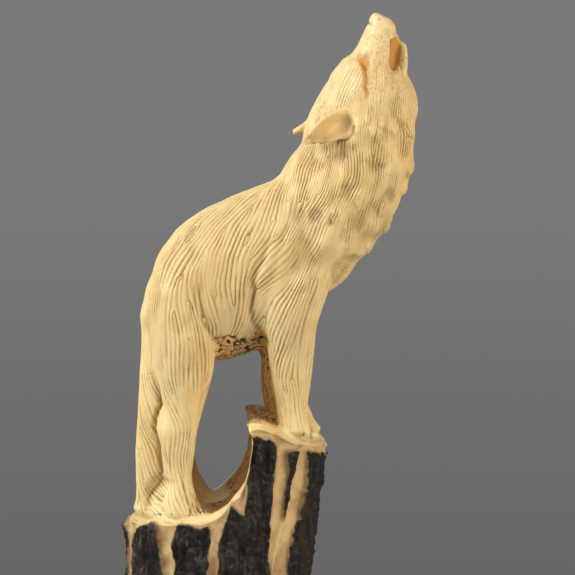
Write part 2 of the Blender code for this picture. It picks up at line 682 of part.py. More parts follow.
def read_surface(mesh):
    """The points and normals of a mesh, in millimetres."""
    points = np.empty(len(mesh.vertices) * 3, np.float32)
    mesh.vertices.foreach_get("co", points)
    normals = np.empty(len(mesh.vertices) * 3, np.float32)
    mesh.vertex_normals.foreach_get("vector", normals)
    return points.reshape(-1, 3).astype(float) / MM, normals.reshape(-1, 3).astype(float)


def ledge_height(x):
    """Height of the ledge at each x, in millimetres above the sawn face."""
    line = np.array(LEDGE_LINE)
    return ledge_z(np.interp(x, line[:, 0], line[:, 1]))


def carve(mesh):
    """Moves the points of the joined surface: channels, bark ridges, fur locks and eye grooves."""
    points, normals = read_surface(mesh)
    neighbours = neighbour_table(mesh)
    x, width, depth = stump_axis(points[:, 2])
    round_stump = np.hypot((points[:, 0] - x) / width, points[:, 1] / depth)
    below = np.clip((ledge_height(points[:, 0]) + 1.0 - points[:, 2]) / 1.5, 0, 1)
    on_side = np.clip((round_stump - 0.90) / 0.06, 0, 1) * (1 - np.clip(abs(normals[:, 2]) / 0.9, 0, 1) ** 4)
    wall = below * on_side
    to_edge = bark_distance(points)
    bark = np.clip(to_edge / CHANNEL_EDGE * 0.5 + 0.5, 0, 1) * wall
    ridge_gap = line_distance(unrolled(points), unrolled_line(CHANNEL_RIDGE))
    to_rim = np.maximum(to_edge, -ridge_gap)
    cove = (1 - np.clip(1 + to_rim / COVE_REACH, 0, 1) ** 2) * (to_edge < 0) * wall
    inwards = CHANNEL_DEPTH * (wall - bark) + CHANNEL_COVE * cove
    inwards -= CHANNEL_RIDGE_HEIGHT * np.clip(1 - ridge_gap / CHANNEL_RIDGE_HALF_WIDTH, 0, 1) * (wall - bark)
    inwards += bark * bark_depth(points)
    fur = 1 - below
    smooth_head = np.clip((points[:, 2] - STUMP_HEIGHT - SMOOTH_HEAD_HEIGHT) / 4, 0, 0.8)
    hairy = fur * (1 - smooth_head)
    way = fur_direction(points, normals)
    locks = combed_noise(points, normals, neighbours, way, LOCK_WIDTH, 9.0, SEED + 3)
    mane_x, mane_height = MANE_PLACE
    mane = np.clip((points[:, 0] - mane_x) / 10, 0, 1)
    mane *= np.clip((points[:, 2] - STUMP_HEIGHT - mane_height) / 10, 0, 1)
    groove = 1 - np.clip(abs(locks), 0, 1.2) / 1.2
    inwards += LOCK_DEPTH * hairy * (0.75 + 0.6 * mane) * groove
    inwards += BROW_CREASE_DEPTH * crease(points, BROW_CREASE)
    inwards += SHOULDER_CREASE_DEPTH * crease(points, SHOULDER_CREASE)
    inwards += HAUNCH_CREASE_DEPTH * crease(points, HAUNCH_CREASE)
    points = points - normals * inwards[:, None]
    mesh.vertices.foreach_set("co", (points * MM).astype(np.float32).ravel())
    mesh.update()


def crease(points, line):
    """1 along a line in side view, falling to 0 beside it and towards the animal's middle plane."""
    flat = np.column_stack([points[:, 0], points[:, 2] - STUMP_HEIGHT])
    nearest = line_distance(flat, line)
    on_flank = np.clip((abs(points[:, 1]) - 2.5) / 1.5, 0, 1)
    return np.clip(1 - nearest / CREASE_HALF_WIDTH, 0, 1) * on_flank


def saw_bottom(mesh):
    """Cuts the stump square at z = 0 and closes it with one flat face."""
    bm = bmesh.new()
    bm.from_mesh(mesh)
    everything = [*bm.verts, *bm.edges, *bm.faces]
    bmesh.ops.bisect_plane(bm, geom=everything, plane_co=(0, 0, 0), plane_no=(0, 0, 1), clear_inner=True)
    rim = [e for e in bm.edges if e.is_boundary]
    bmesh.ops.edgeloop_fill(bm, edges=rim)
    for edge in rim:
        edge.smooth = False
    bmesh.ops.triangulate(bm, faces=bm.faces)
    bmesh.ops.recalc_face_normals(bm, faces=bm.faces)
    for face in bm.faces:
        face.smooth = True
    bm.to_mesh(mesh)
    bm.free()


def bone_material():
    material = bpy.data.materials.new("carved_antler")
    material.use_nodes = True
    shader = material.node_tree.nodes["Principled BSDF"]
    shader.inputs["Base Color"].default_value = BONE
    shader.inputs["Roughness"].default_value = 0.45
    shader.inputs["Metallic"].default_value = 0.0
    return material


def main():
    for old in list(bpy.data.objects):
        bpy.data.objects.remove(old)
    block = stump()
    cut(block, [ledge_cutter(), trough_cutter()])
    carving = joined("howling_wolf", [block, *wolf_forms()])
    join = carving.modifiers.new("join", "REMESH")
    join.mode = "VOXEL"
    join.voxel_size = VOXEL * MM
    apply_modifiers(carving)
    cut(carving, [mouth_cutter(-1), mouth_cutter(1)])
    again = carving.modifiers.new("join", "REMESH")
    again.mode = "VOXEL"
    again.voxel_size = VOXEL * MM
    soften = carving.modifiers.new("soften", "SMOOTH")
    soften.factor = 0.5
    soften.iterations = 4
    apply_modifiers(carving)
    carve(carving.data)
    coarse = carving.modifiers.new("coarse", "DECIMATE")
    triangles = sum(len(p.vertices) - 2 for p in carving.data.polygons)
    coarse.ratio = min(1.0, MOST_TRIANGLES / triangles)
    apply_modifiers(carving)
    saw_bottom(carving.data)
    carving.data.materials.clear()
    carving.data.materials.append(bone_material())


main()
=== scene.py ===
"""The looks of the howling wolf that is carved from a length of deer antler.

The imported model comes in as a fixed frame. Its solid is smoothed, remeshed finely and carved again in
full detail: fur, mane, head and paws on the animal, and bark, channels and spongy marrow on the stump.
The result is split where the animal meets the ledge, and the two pieces together replace the solid.

Lengths are in millimetres. Heights named h are above the rear ledge, on which the hind paws stand.
The wolf faces +X, and the side that the photograph shows is -Y.
"""

import math

import bmesh
import bpy
import numpy as np
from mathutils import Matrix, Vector


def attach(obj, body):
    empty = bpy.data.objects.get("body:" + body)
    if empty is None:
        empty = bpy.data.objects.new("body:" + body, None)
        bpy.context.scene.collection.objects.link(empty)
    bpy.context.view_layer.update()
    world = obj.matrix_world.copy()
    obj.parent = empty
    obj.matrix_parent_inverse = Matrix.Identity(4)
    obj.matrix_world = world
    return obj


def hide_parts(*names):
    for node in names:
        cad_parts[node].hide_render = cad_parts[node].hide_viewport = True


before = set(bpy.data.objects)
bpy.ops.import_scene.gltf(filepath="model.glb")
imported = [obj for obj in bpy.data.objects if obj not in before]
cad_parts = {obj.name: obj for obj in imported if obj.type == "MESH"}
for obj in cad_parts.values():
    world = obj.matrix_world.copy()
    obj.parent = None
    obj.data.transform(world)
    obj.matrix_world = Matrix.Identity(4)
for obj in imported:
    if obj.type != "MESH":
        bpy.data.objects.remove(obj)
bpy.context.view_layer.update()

MM = 0.001

# Stump
LEDGE_Z = 50.5
STEP_HEIGHT = 22.5
LEDGE_SKEW = 0.06
STUMP_HALF_WIDTH = 20.8
STUMP_HALF_DEPTH = 17.0
STUMP_LEAN = 5.0
CHANNEL_DEPTH = 0.95
CHANNEL_COVE = 0.75
COVE_REACH = 3.2
CHANNEL_RIDGE_HEIGHT = 0.5
CHANNEL_RIDGE_REACH = 0.9
BARK_EDGE = 0.16
BARK_RIDGE_WIDTH = 2.6
BARK_RIDGE_LENGTH = 8.0
BARK_LUMP = 5.0
BARK_RIDGE_DEPTH = 0.55
BARK_FLAKE = 0.28
BARK_GRAIN = 0.30
FLAKE_REACH = 5.0
LIP_DROP = 1.2
HOOK_RISE = 1.3

# Wolf: the pitch is from one engraved groove of the fur to the next.
TORSO_PITCH = 0.86
MANE_PITCH = 0.62
HEAD_PITCH = 0.60
STRAND_DEPTH = 0.25
STRAND_REACH = 6.0
STRAND_SPREAD = 1.8
# The grooves are this much deeper while the mesh is thinned out, so that it keeps them.
SPARED_DEPTH = 0.40
MANE_SWELL = 0.5
MANE_HOLLOW_DEPTH = 0.35
PIT_DEPTH = 0.45
BROW_DEPTH = 0.1
BROW_BULGE = 0.6
EYE_DEPTH = 0.4
NOSE_DEPTH = 0.18
NOSTRIL_DEPTH = 0.25
SNOUT_CORNER_HEIGHT = 0.7
MOUTH_DEPTH = 0.7
EAR_DROOP = 0.9
EAR_HOLLOW_DEPTH = 0.55
EAR_CUT_DEPTH = 0.35
TAIL_DEPTH = 0.8
TAIL_END_RISE = 0.25
LEG_SWELL = 0.45
TOE_DEPTH = 0.45
FOLD_DEPTH = 0.3
SHOULDER_DEPTH = 0.28

# Mesh: each round draws the points to the mean of their neighbours, or combs the strands once.
FINE_VOXEL = 0.22
COMB_ROUNDS = 6
FACET_ROUNDS = 4
FLEECE_ROUNDS = 40
RUMP_ROUNDS = 250
BROW_ROUNDS = 80
MOST_TRIANGLES = 296000
SEED = 7

# Camera, with its distance in metres. Azimuth 0 is the near side, and 90 is the wolf's front.
CAMERA_TARGET = Vector((15.35, 0.0, 99.9)) * MM
CAMERA_AZIMUTH = -5.0
CAMERA_ELEVATION = 8.0
CAMERA_DISTANCE = 0.9
CAMERA_LENS = 256.0
CAMERA_SENSOR = 36.0

# Lights: (name, azimuth, elevation, distance and size in metres, watts, colour).
LIGHTS = [
    ("key", -76, 30, 0.6, 0.2, 3.5, (1.0, 0.98, 0.94)),
    ("fill", 56, 14, 0.8, 0.5, 4.6, (1.0, 0.88, 0.71)),
    ("front", -22, 40, 0.8, 0.5, 1.3, (1.0, 0.95, 0.88)),
]
FLOOR_RADIUS = 165.0
FLOOR_GAP = 0.02

# Heights of the ledge along X, as shares of the step.
LEDGE_LINE = [
    (-32.0, -0.05),
    (-21.0, -0.035),
    (-12.0, 0.0),
    (-4.0, 0.02),
    (-1.0, 0.075),
    (1.2, 0.14),
    (2.8, 0.22),
    (4.7, 0.31),
    (6.1, 0.44),
    (6.9, 0.62),
    (7.1, 0.95),
    (9.2, 0.95),
    (12.8, 0.885),
    (16.5, 0.79),
    (21.3, 0.73),
    (25.2, 0.665),
    (34.0, 0.60),
]
# Stump sections: (height, share of the half width, share of the half depth, share of the lean).
STUMP_SECTIONS = [
    (0.0, 0.89, 0.91, 0.0),
    (18.2, 0.95, 0.97, -0.04),
    (35.9, 1.0, 1.0, -0.04),
    (48.0, 1.03, 1.0, 0.12),
    (56.1, 1.02, 0.98, 0.44),
    (65.1, 0.99, 0.95, 0.90),
    (76.4, 0.98, 0.90, 1.1),
]
# Bark panels, as (degrees round the stump from the near side towards the front, height). A height above
# the rear ledge is a share of the step, and one below it is in millimetres.
FOOT = -70.0
BARK_PANELS = [
    [
        (-77, FOOT), (-76, -5), (-67, -3.4), (-59, -1.2), (-52, 0), (-47, -1.4), (-43, -6), (-38.5, -14),
        (-36.5, FOOT),
    ],
    [
        (-34, FOOT), (-33, -8), (-33, -1.2), (-30, 0), (-24, -0.3), (-16, -1.4), (-12, -0.3), (-10, -1.8),
        (-10, FOOT),
    ],
    [
        (-4, FOOT), (-4, -6), (-3, -1), (-1, 0.2), (5, 0.11), (8, 0.07), (7.6, 0.25), (4.6, 0.44), (3, 0.69),
        (1.5, 0.82), (8, 0.84), (15, 0.81), (19.5, 0.78), (22, 0.72), (24, 0.44), (23.8, 0.29), (25.8, 0.09),
        (28.3, -4.6), (30.8, -12.4), (31, FOOT),
    ],
    [
        (28.6, 0.65), (31, 0.675), (36.7, 0.675), (37.2, 0.53), (37.2, 0.27), (37.5, 0.1), (36.7, -0.6),
        (34.5, 0.1), (33.6, 0.2), (32.5, 0.4),
    ],
    [
        (44.5, FOOT), (44.5, -12.4), (45.5, -4.6), (49.5, -0.2), (49.5, 0.19), (51, 0.29), (48, 0.5),
        (46, 0.66), (60, 0.61), (80, 0.56), (100, 0.56), (118, 0.56), (122, 0.27), (120, FOOT),
    ],
    [(128, FOOT), (128, 0.44), (134, 0.64), (146, 0.74), (152, 0.69), (155, 0.27), (153, FOOT)],
    [(161, FOOT), (161, 0.36), (166, 0.58), (172, 0.4), (178, 0.07), (186, -1.2), (196, -2.4), (197, FOOT)],
    [(203, FOOT), (203, -3), (212, -1), (226, -1.7), (236, -4), (238, FOOT)],
    [(245, FOOT), (245, -6), (256, -1.8), (268, -3.2), (276, -7), (275, FOOT)],
]
# Where the way round the stump starts, in degrees, between two panels.
BARK_START = -83.0
# Millimetres round the stump for each degree.
GIRTH = math.radians(1) * (STUMP_HALF_WIDTH + STUMP_HALF_DEPTH) / 2
# The ridge left between two channels where they run together, in the same terms.
CHANNEL_RIDGE = [(36.7, -0.6), (34.0, -4.6), (32.8, -7.3), (31.2, -12.8)]

# The way the fur lies in side view: (x, h, along x, along z).
FUR_GUIDES = [
    (4.5, 70.5, -0.9, -0.45), (-1.7, 67.1, -0.8, -0.6), (-7.2, 63.4, -0.7, -0.75),
    (-10.5, 58.2, -0.5, -0.85), (-12.7, 52.7, -0.25, -1), (-13.8, 43.8, 0, -1),
    (1.6, 61.6, -0.45, -0.9), (0.5, 54.9, -0.1, -1), (0.5, 48.2, 0.1, -1), (-3.9, 48.2, 0.2, -1),
    (4.9, 48.2, -0.1, -1), (-1.7, 42.7, 0.25, -1), (3.8, 42.7, -0.15, -1), (9.3, 64.9, -0.35, -0.95),
    (13.3, 68.2, -0.1, -1), (14.8, 61.6, -0.55, -0.85), (11.5, 56.7, -0.75, -0.65),
    (10.4, 50.5, -0.75, -0.65), (14.8, 50.5, -0.6, -0.8), (11.5, 43.8, -0.55, -0.85),
    (17, 43.8, -0.35, -0.95), (13.7, 34.9, -0.3, -0.95), (18.1, 34.9, 0, -1), (14.8, 26, 0.05, -1),
    (18.1, 23.8, 0.3, -0.95), (-13.8, 37.1, 0.05, -1), (-6, 39.3, 0.1, -1), (-8.3, 32.7, 0.05, -1),
    (-16, 30.5, 0.45, -0.9), (-17, 17.1, 0.4, -0.9), (-16, 8.2, 0.4, -0.9), (-13.8, 4.9, 0.6, -0.8),
    (-8.3, 17.1, 0.05, -1), (-9.4, 8.2, 0.1, -1), (19.2, 74.9, -0.15, -1), (25.8, 79.3, 0, -1),
    (21.4, 66, -0.4, -0.9), (28, 63.8, -0.35, -0.95), (34.6, 77.1, -0.05, -1), (39, 86, 0, -1),
    (33.5, 66, -0.3, -1), (23.6, 57.1, -0.5, -0.85), (17, 79.3, -0.6, -0.8), (23.6, 94.9, -0.45, -0.9),
    (26.9, 98.2, -0.5, -0.85), (35.7, 93.8, -0.1, -1), (33.5, 103.8, -0.15, -1), (40.1, 96, 0.15, -1),
]

# Tufts of the mane: (x and h of the tip, slant backwards in degrees, length, half width, height).
TUFTS = [
    (31.3, 86.4, 10, 5.0, 1.1, 0.35), (33.2, 83.4, -4, 6.0, 1.3, 0.5), (35.6, 85.6, 6, 5.0, 1.6, 0.6),
    (37.5, 83.0, -8, 6.0, 1.3, 0.5), (39.5, 86.2, -2, 5.0, 1.4, 0.5), (34.9, 80.6, 4, 5.0, 1.2, 0.4),
    (41.6, 82.8, -6, 6.0, 1.4, 0.5), (29.6, 84.4, 12, 5.0, 1.1, 0.35), (28.2, 81.0, 14, 4.0, 1.2, 0.3),
    (42.8, 73.8, -2, 8.0, 2.4, 1.1), (41.4, 69.2, 6, 6.0, 2.2, 1.0), (37.6, 59.8, 14, 7.0, 2.2, 1.0),
    (33.0, 56.2, 22, 5.0, 2.0, 0.8), (31.5, 78.9, 3, 5.0, 1.8, 0.3), (36.0, 77.4, -2, 6.0, 2.2, 0.35),
    (27.0, 73.0, 16, 6.0, 2.2, 0.3), (24.0, 65.4, 26, 6.0, 2.0, 0.35), (30.2, 67.6, 14, 6.0, 2.2, 0.35),
    (35.6, 66.0, 8, 5.0, 2.0, 0.4), (20.0, 57.5, 34, 6.0, 2.0, 0.3), (27.0, 59.0, 28, 6.0, 2.0, 0.35),
]

# Soft hollows of the mane: (x, h, half width, half height).
MANE_HOLLOWS = [
    (34.1, 76.8, 2.4, 1.5), (21.1, 66.0, 2.0, 1.7), (24.7, 64.8, 1.2, 2.0), (29.9, 64.6, 2.0, 2.6),
    (32.2, 61.8, 2.4, 1.8), (28.8, 56.9, 2.4, 1.1), (27.3, 72.2, 1.6, 2.6), (17.4, 66.6, 1.8, 2.2),
    (37.4, 70.4, 1.4, 2.2), (25.6, 79.6, 2.0, 1.4),
]

# Lines in side view, as (x, h).
BROW_LINE = [
    (30.1, 100.6), (30.6, 99.2), (31.0, 97.9), (31.2, 96.6), (31.2, 95.2), (30.9, 94.1), (31.5, 92.8),
]
EAR_LINE = [(27.0, 86.6), (24.5, 85.6), (20.5, 84.4), (17.4, 83.3)]
EAR_BASE_LINE = [(29.0, 85.8), (28.8, 84.2), (27.4, 83.0), (25.4, 82.4)]
NOSE_LINE = [(32.6, 107.8), (33.5, 107.3), (34.8, 107.1), (36.1, 107.6), (37.2, 107.6), (38.6, 106.9)]
NOSTRIL = (35.3, 108.6)
SNOUT_CORNER = (38.2, 107.6)
EYE_HOLLOW = (31.9, 99.9)
MOUTH = [
    (37.6, 104.1), (37.6, 98.6), (38.1, 97.5), (38.9, 97.6), (39.7, 99.2), (40.1, 101.5), (40.3, 103.8),
    (39.2, 104.7),
]
MOUTH_SLIVER = [(38.1, 104.0), (37.9, 102.2)]
TAIL_LINE = [
    (-15.6, 32.5), (-13.8, 28.7), (-12.9, 24.9), (-14.2, 21.6), (-14.5, 19.4), (-13.5, 16.0), (-12.8, 9.4),
    (-13.8, 7.1), (-16.4, 3.8), (-17.6, 0.8),
]
HIND_TOE_LINES = [
    [(-8.3, 5.6), (-6.7, 3.1), (-7.2, 1.1)],
    [(-7.2, 6.5), (-5.4, 3.8), (-5.2, 2.0)],
    [(-6.1, 7.1), (-4.1, 2.7), (-3.6, 1.1)],
]
FORE_TOE_LINES = [
    [(19.0, 22.9), (19.5, 21.6), (19.9, 19.6), (19.6, 18.0)],
    [(13.3, 19.4), (15.3, 18.6), (17.0, 18.2), (18.0, 18.6)],
]
RUMP = (-14.5, 57.0)
BELLY_FOLD = [(-3.6, 43.0), (-2.3, 40.9), (-0.6, 38.6)]
SHOULDER_LINE = [
    (10.0, 59.6), (8.7, 56.6), (6.7, 52.6), (6.9, 50.0), (6.3, 46.4), (6.7, 43.3), (8.7, 40.4), (9.8, 38.2),
]


def smoothstep(low, high, value):
    """0 below low, 1 above high and a smooth rise between. low may be above high."""
    t = np.clip((value - low) / (high - low), 0, 1)
    return t * t * (3 - 2 * t)


def lattice_noise(points, cell, seed):
    """Smooth random values from -1 to 1, on a lattice with cells of that size."""
    table = np.random.default_rng(seed).uniform(-1, 1, (64, 64, 64)).astype(np.float32)
    scaled = points / cell
    low = np.floor(scaled).astype(np.int32)
    t = (scaled - low).astype(np.float32)
    t = t * t * (3 - 2 * t)
    low &= 63
    high = (low + 1) & 63
    total = np.zeros(len(points), np.float32)
    for ix, wx in ((low[:, 0], 1 - t[:, 0]), (high[:, 0], t[:, 0])):
        for iy, wy in ((low[:, 1], 1 - t[:, 1]), (high[:, 1], t[:, 1])):
            for iz, wz in ((low[:, 2], 1 - t[:, 2]), (high[:, 2], t[:, 2])):
                total += wx * wy * wz * table[ix, iy, iz]
    return total


def value_noise(points, cell, seed):
    """Lattice noise with a lattice of its own direction."""
    turned, _ = np.linalg.qr(np.random.default_rng(seed).normal(size=(3, 3)))
    return lattice_noise(points @ turned.astype(np.float32), cell, SEED * 100 + seed)


def apply_modifiers(target):
    """Replaces the object's mesh with what its modifiers make of it."""
    bpy.context.view_layer.update()
    graph = bpy.context.evaluated_depsgraph_get()
    mesh = bpy.data.meshes.new_from_object(target.evaluated_get(graph))
    target.modifiers.clear()
    target.data = mesh


def fine_copy(node):
    """A finely remeshed copy of a CAD node, with its facets rounded off."""
    bm = bmesh.new()
    bm.from_mesh(node.data)
    bmesh.ops.remove_doubles(bm, verts=bm.verts, dist=0.001 * MM)
    mesh = bpy.data.meshes.new("fine_copy")
    bm.to_mesh(mesh)
    bm.free()
    made = bpy.data.objects.new("fine_copy", mesh)
    bpy.context.scene.collection.objects.link(made)
    rounded = made.modifiers.new("rounded", "SUBSURF")
    rounded.levels = 2
    remesh = made.modifiers.new("remesh", "REMESH")
    remesh.mode = "VOXEL"
    remesh.voxel_size = FINE_VOXEL * MM
    apply_modifiers(made)
    return made


def read_points(mesh):
    points = np.empty(len(mesh.vertices) * 3, np.float32)
    mesh.vertices.foreach_get("co", points)
    return points.reshape(-1, 3) / MM


def read_normals(mesh):
    normals = np.empty(len(mesh.vertices) * 3, np.float32)
    mesh.vertex_normals.foreach_get("vector", normals)
    return normals.reshape(-1, 3)


def write_points(mesh, points):
    mesh.vertices.foreach_set("co", (points * MM).astype(np.float32).ravel())
    mesh.update()


def neighbour_table(mesh, width=9):
    """For each point of a mesh of quads, itself and the points that share a face with it."""
    count = len(mesh.vertices)
    corners = np.empty(len(mesh.loops), np.int32)
    mesh.loops.foreach_get("vertex_index", corners)
    quads = corners.reshape(-1, 4).astype(np.int64)
    pairs = [quads[:, [i, j]] for i in range(4) for j in range(4) if i != j]
    keys = np.unique(np.concatenate([p[:, 0] * count + p[:, 1] for p in pairs]))
    first, second = keys // count, keys % count
    start = np.searchsorted(first, np.arange(count))
    rank = np.arange(len(first)) - start[first]
    table = np.repeat(np.arange(count)[:, None], width, axis=1)
    kept = rank < width - 1
    table[first[kept], rank[kept] + 1] = second[kept]
    return table


def relaxed_near(values, table, rounds, share):
    """The same as relaxed, worked out only where the share is above 0."""
    values = values.copy()
    chosen = np.flatnonzero(share > 0.01)
    for _ in range(rounds):
        mean = values[table[chosen]].mean(1)
        values[chosen] += share[chosen, None] * (mean - values[chosen])
    return values


def relaxed(values, table, rounds, share=1.0):
    """Values at the points, each drawn to the mean of its neighbours by that share, some rounds long."""
    weight = share if np.isscalar(share) else share[:, None]
    for _ in range(rounds):
        total = values[table[:, 0]].copy()
        for column in table.T[1:]:
            total += values[column]
        values = values + weight * (total / table.shape[1] - values)
    return values


def across(points, normals, way):
    """The direction way laid into the surface, with a length of 1."""
    way = way - normals * np.einsum("ij,ij->i", way, normals)[:, None]
    return way / np.maximum(np.linalg.norm(way, axis=1), 1e-6)[:, None]


def flow_paths(skin, heading, beside, chosen, reach):
    """Paths over the surface along heading, both ways from the chosen points.

    Each step of all the paths is (fade, points reached, how far they lie beside the flow).
    """
    points, normals, table = skin
    rows = np.arange(len(chosen))
    steps = [(1.0, chosen, np.zeros(len(chosen), np.float32))]
    lengthwise = heading is not beside
    for sign in (1.0, -1.0):
        at = chosen
        place = points[at].copy()
        for k in range(1, int(reach / FINE_VOXEL) + 1):
            place += sign * FINE_VOXEL * heading[at]
            near = table[at]
            gap = ((points[near] - place[:, None, :]) ** 2).sum(2)
            at = near[rows, gap.argmin(1)]
            miss = points[at] - place
            off = np.einsum("ij,ij->i", miss, normals[at])
            place += normals[at] * off[:, None]
            gone = np.einsum("ij,ij->i", miss, beside[at])
            if not lengthwise:
                gone += sign * k * FINE_VOXEL
            fade = 0.5 + 0.5 * math.cos(math.pi * k * FINE_VOXEL / reach)
            steps.append((fade, at, gone))
    return steps


def drawn_out(paths, chosen, field):
    """A field averaged along paths, with a spread of 1 at the chosen points, and 0 at others."""
    total = sum(fade * field[at] for fade, at, _ in paths)
    made = np.zeros(len(field), np.float32)
    made[chosen] = total / total.std()
    return made


def combed(along, over, chosen, pitch, seed_values):
    """Evenly spaced strands along the flow, as a complex value at each point.

    Its imaginary part is 0 in the grooves, which are a pitch apart. Each round evens the values out
    along the flow and, turned by the distance, across it. The second result says how even the strands
    are at each chosen point, from 0 to 1.
    """
    turn = -1j * math.pi / pitch[chosen]
    wave = np.zeros(len(seed_values), np.complex64)
    wave[chosen] = np.exp(1j * seed_values[chosen])
    sets = [
        [(at, (fade * np.exp(turn * gone)).astype(np.complex64)) for fade, at, gone in paths]
        for paths in (along, over)
    ]
    for _ in range(COMB_ROUNDS):
        for steps in sets:
            total = sum(wave[at] * factor for at, factor in steps)
            wave[chosen] = total / np.maximum(abs(total), 1e-6)
    return wave, abs(total) / sum(step[0] for step in over)


def inside_distance(flat, outline):
    """Distance of each flat point to a closed outline, positive inside it."""
    outline = np.array(outline, np.float32)
    nearest = np.full(len(flat), np.inf, np.float32)
    inside = np.zeros(len(flat), bool)
    for start, end in zip(outline, np.roll(outline, -1, axis=0)):
        way = end - start
        t = np.clip((flat - start) @ way / (way @ way), 0, 1)
        nearest = np.minimum(nearest, np.linalg.norm(flat - start - t[:, None] * way, axis=1))
        crosses = (start[1] > flat[:, 1]) != (end[1] > flat[:, 1])
        rise = np.where(crosses, flat[:, 1] - start[1], 0) / (way[1] if way[1] else 1)
        inside ^= crosses & (flat[:, 0] < start[0] + rise * way[0])
    return np.where(inside, nearest, -nearest)


def line_distance(flat, line):
    """Distance of each flat point to an open line, and how far along the line its nearest place is."""
    line = np.array(line, np.float32)
    nearest = np.full(len(flat), np.inf, np.float32)
    along = np.zeros(len(flat), np.float32)
    for i, (start, end) in enumerate(zip(line, line[1:])):
        way = end - start
        t = np.clip((flat - start) @ way / (way @ way), 0, 1)
        gap = np.linalg.norm(flat - start - t[:, None] * way, axis=1)
        along = np.where(gap < nearest, (i + t) / (len(line) - 1), along)
        nearest = np.minimum(nearest, gap)
    return nearest, along


def side_view(points):
    """Each point in side view, as (x, height above the rear ledge)."""
    return points[:, [0, 2]] - np.float32([0, LEDGE_Z])


def x_on(line, flat):
    """The x of a line in side view at the height of each flat point. The line runs from the top down."""
    return np.interp(flat[:, 1], [p[1] for p in line[::-1]], [p[0] for p in line[::-1]])


def stump_axis(z):
    """The stump's middle x, half width and half depth at heights z above the sawn face."""
    sections = np.array(STUMP_SECTIONS, np.float32)
    x = np.interp(z, sections[:, 0], sections[:, 3] * STUMP_LEAN)
    width = np.interp(z, sections[:, 0], sections[:, 1] * STUMP_HALF_WIDTH)
    depth = np.interp(z, sections[:, 0], sections[:, 2] * STUMP_HALF_DEPTH)
    return x, width, depth


def ledge_h(points):
    """Height of the ledge under or over each point, above the rear ledge."""
    line = np.array(LEDGE_LINE)
    return np.interp(points[:, 0] - LEDGE_SKEW * points[:, 1], line[:, 0], line[:, 1]) * STEP_HEIGHT


def unrolled_line(line):
    """A line round the stump, as (way round in millimetres, height above the rear ledge)."""
    return [(a * GIRTH, z * STEP_HEIGHT if z > 0 else z) for a, z in line]


def unrolled(points):
    """Each point of the stump's side, as (way round in millimetres, height above the rear ledge)."""
    x, width, depth = stump_axis(points[:, 2])
    angle = np.degrees(np.arctan2((points[:, 0] - x) / width, -points[:, 1] / depth))
    angle = (angle - BARK_START) % 360 + BARK_START
    return np.column_stack([angle * GIRTH, points[:, 2] - LEDGE_Z]).astype(np.float32)


def panel_distance(points):
    """Distance of each point of the stump's side to the nearest edge of the bark, positive on bark."""
    flat = unrolled(points)
    flat[:, 0] += 0.35 * value_noise(points, 1.6, 11) + 0.3 * value_noise(points, 5.0, 12)
    flat[:, 1] += 0.5 * value_noise(points, 1.3, 13)
    best = np.full(len(points), -np.inf, np.float32)
    for panel in BARK_PANELS:
        best = np.maximum(best, inside_distance(flat, unrolled_line(panel)))
    return best


def bark_depth(points):
    """How deep the bark is sunk at each point of the stump's side, between upright ridges and lumps."""
    x, width, depth = stump_axis(points[:, 2])
    angle = np.arctan2((points[:, 0] - x) / width, -points[:, 1] / depth)
    ring = np.column_stack([width * np.sin(angle), -depth * np.cos(angle)])
    stretched = np.column_stack([ring / BARK_RIDGE_WIDTH, points[:, 2] / BARK_RIDGE_LENGTH])
    ridges = lattice_noise(stretched, 1.0, SEED + 2)
    lumps = lattice_noise(np.column_stack([ring, points[:, 2]]), BARK_LUMP, SEED + 4)
    return BARK_RIDGE_DEPTH * np.clip(0.8 - 0.9 * ridges - 0.6 * lumps, 0, 1.7)


def fur_way(points, normals):
    """The way the fur lies at each point."""
    guides = np.array(FUR_GUIDES, np.float32)
    total = np.zeros((len(points), 3), np.float32)
    for x, h, along_x, along_z in guides:
        gap = (points[:, 0] - x) ** 2 + (points[:, 2] - LEDGE_Z - h) ** 2
        weight = (gap + 3) ** -2.0
        total[:, 0] += weight * along_x
        total[:, 2] += weight * along_z
    total /= np.linalg.norm(total, axis=1)[:, None]
    total[:, 1] += 0.8 * np.clip(normals[:, 2], 0, 1) * np.tanh(points[:, 1] / 4)
    total[:, 0] += 0.30 * value_noise(points, 6.0, 1) + 0.16 * value_noise(points, 3.0, 2)
    return across(points, normals, total)


def tuft_relief(points):
    """Height of the mane's tufts, which rise towards their tips and end there."""
    flat = side_view(points)
    flat[:, 0] += 0.7 * value_noise(points, 3.0, 15) + 0.3 * value_noise(points, 1.2, 16)
    flat[:, 1] += 1.0 * value_noise(points, 2.4, 17) + 0.4 * value_noise(points, 0.9, 18)
    total = np.zeros(len(flat), np.float32)
    for x, h, slant, length, width, height in TUFTS:
        axis = np.array([-math.sin(math.radians(slant)), -math.cos(math.radians(slant))], np.float32)
        gap = flat - np.array([x, h], np.float32)
        back = -(gap @ axis)
        off = gap @ np.array([axis[1], -axis[0]], np.float32)
        narrow = width * np.clip(0.45 + 0.55 * back / (0.35 * length), 0.05, 1)
        rise = smoothstep(length, 0.1 * length, back) * smoothstep(-0.4, 0.4, back)
        total = np.maximum(total, height * rise * np.clip(1 - (off / narrow) ** 2, 0, 1))
    return total


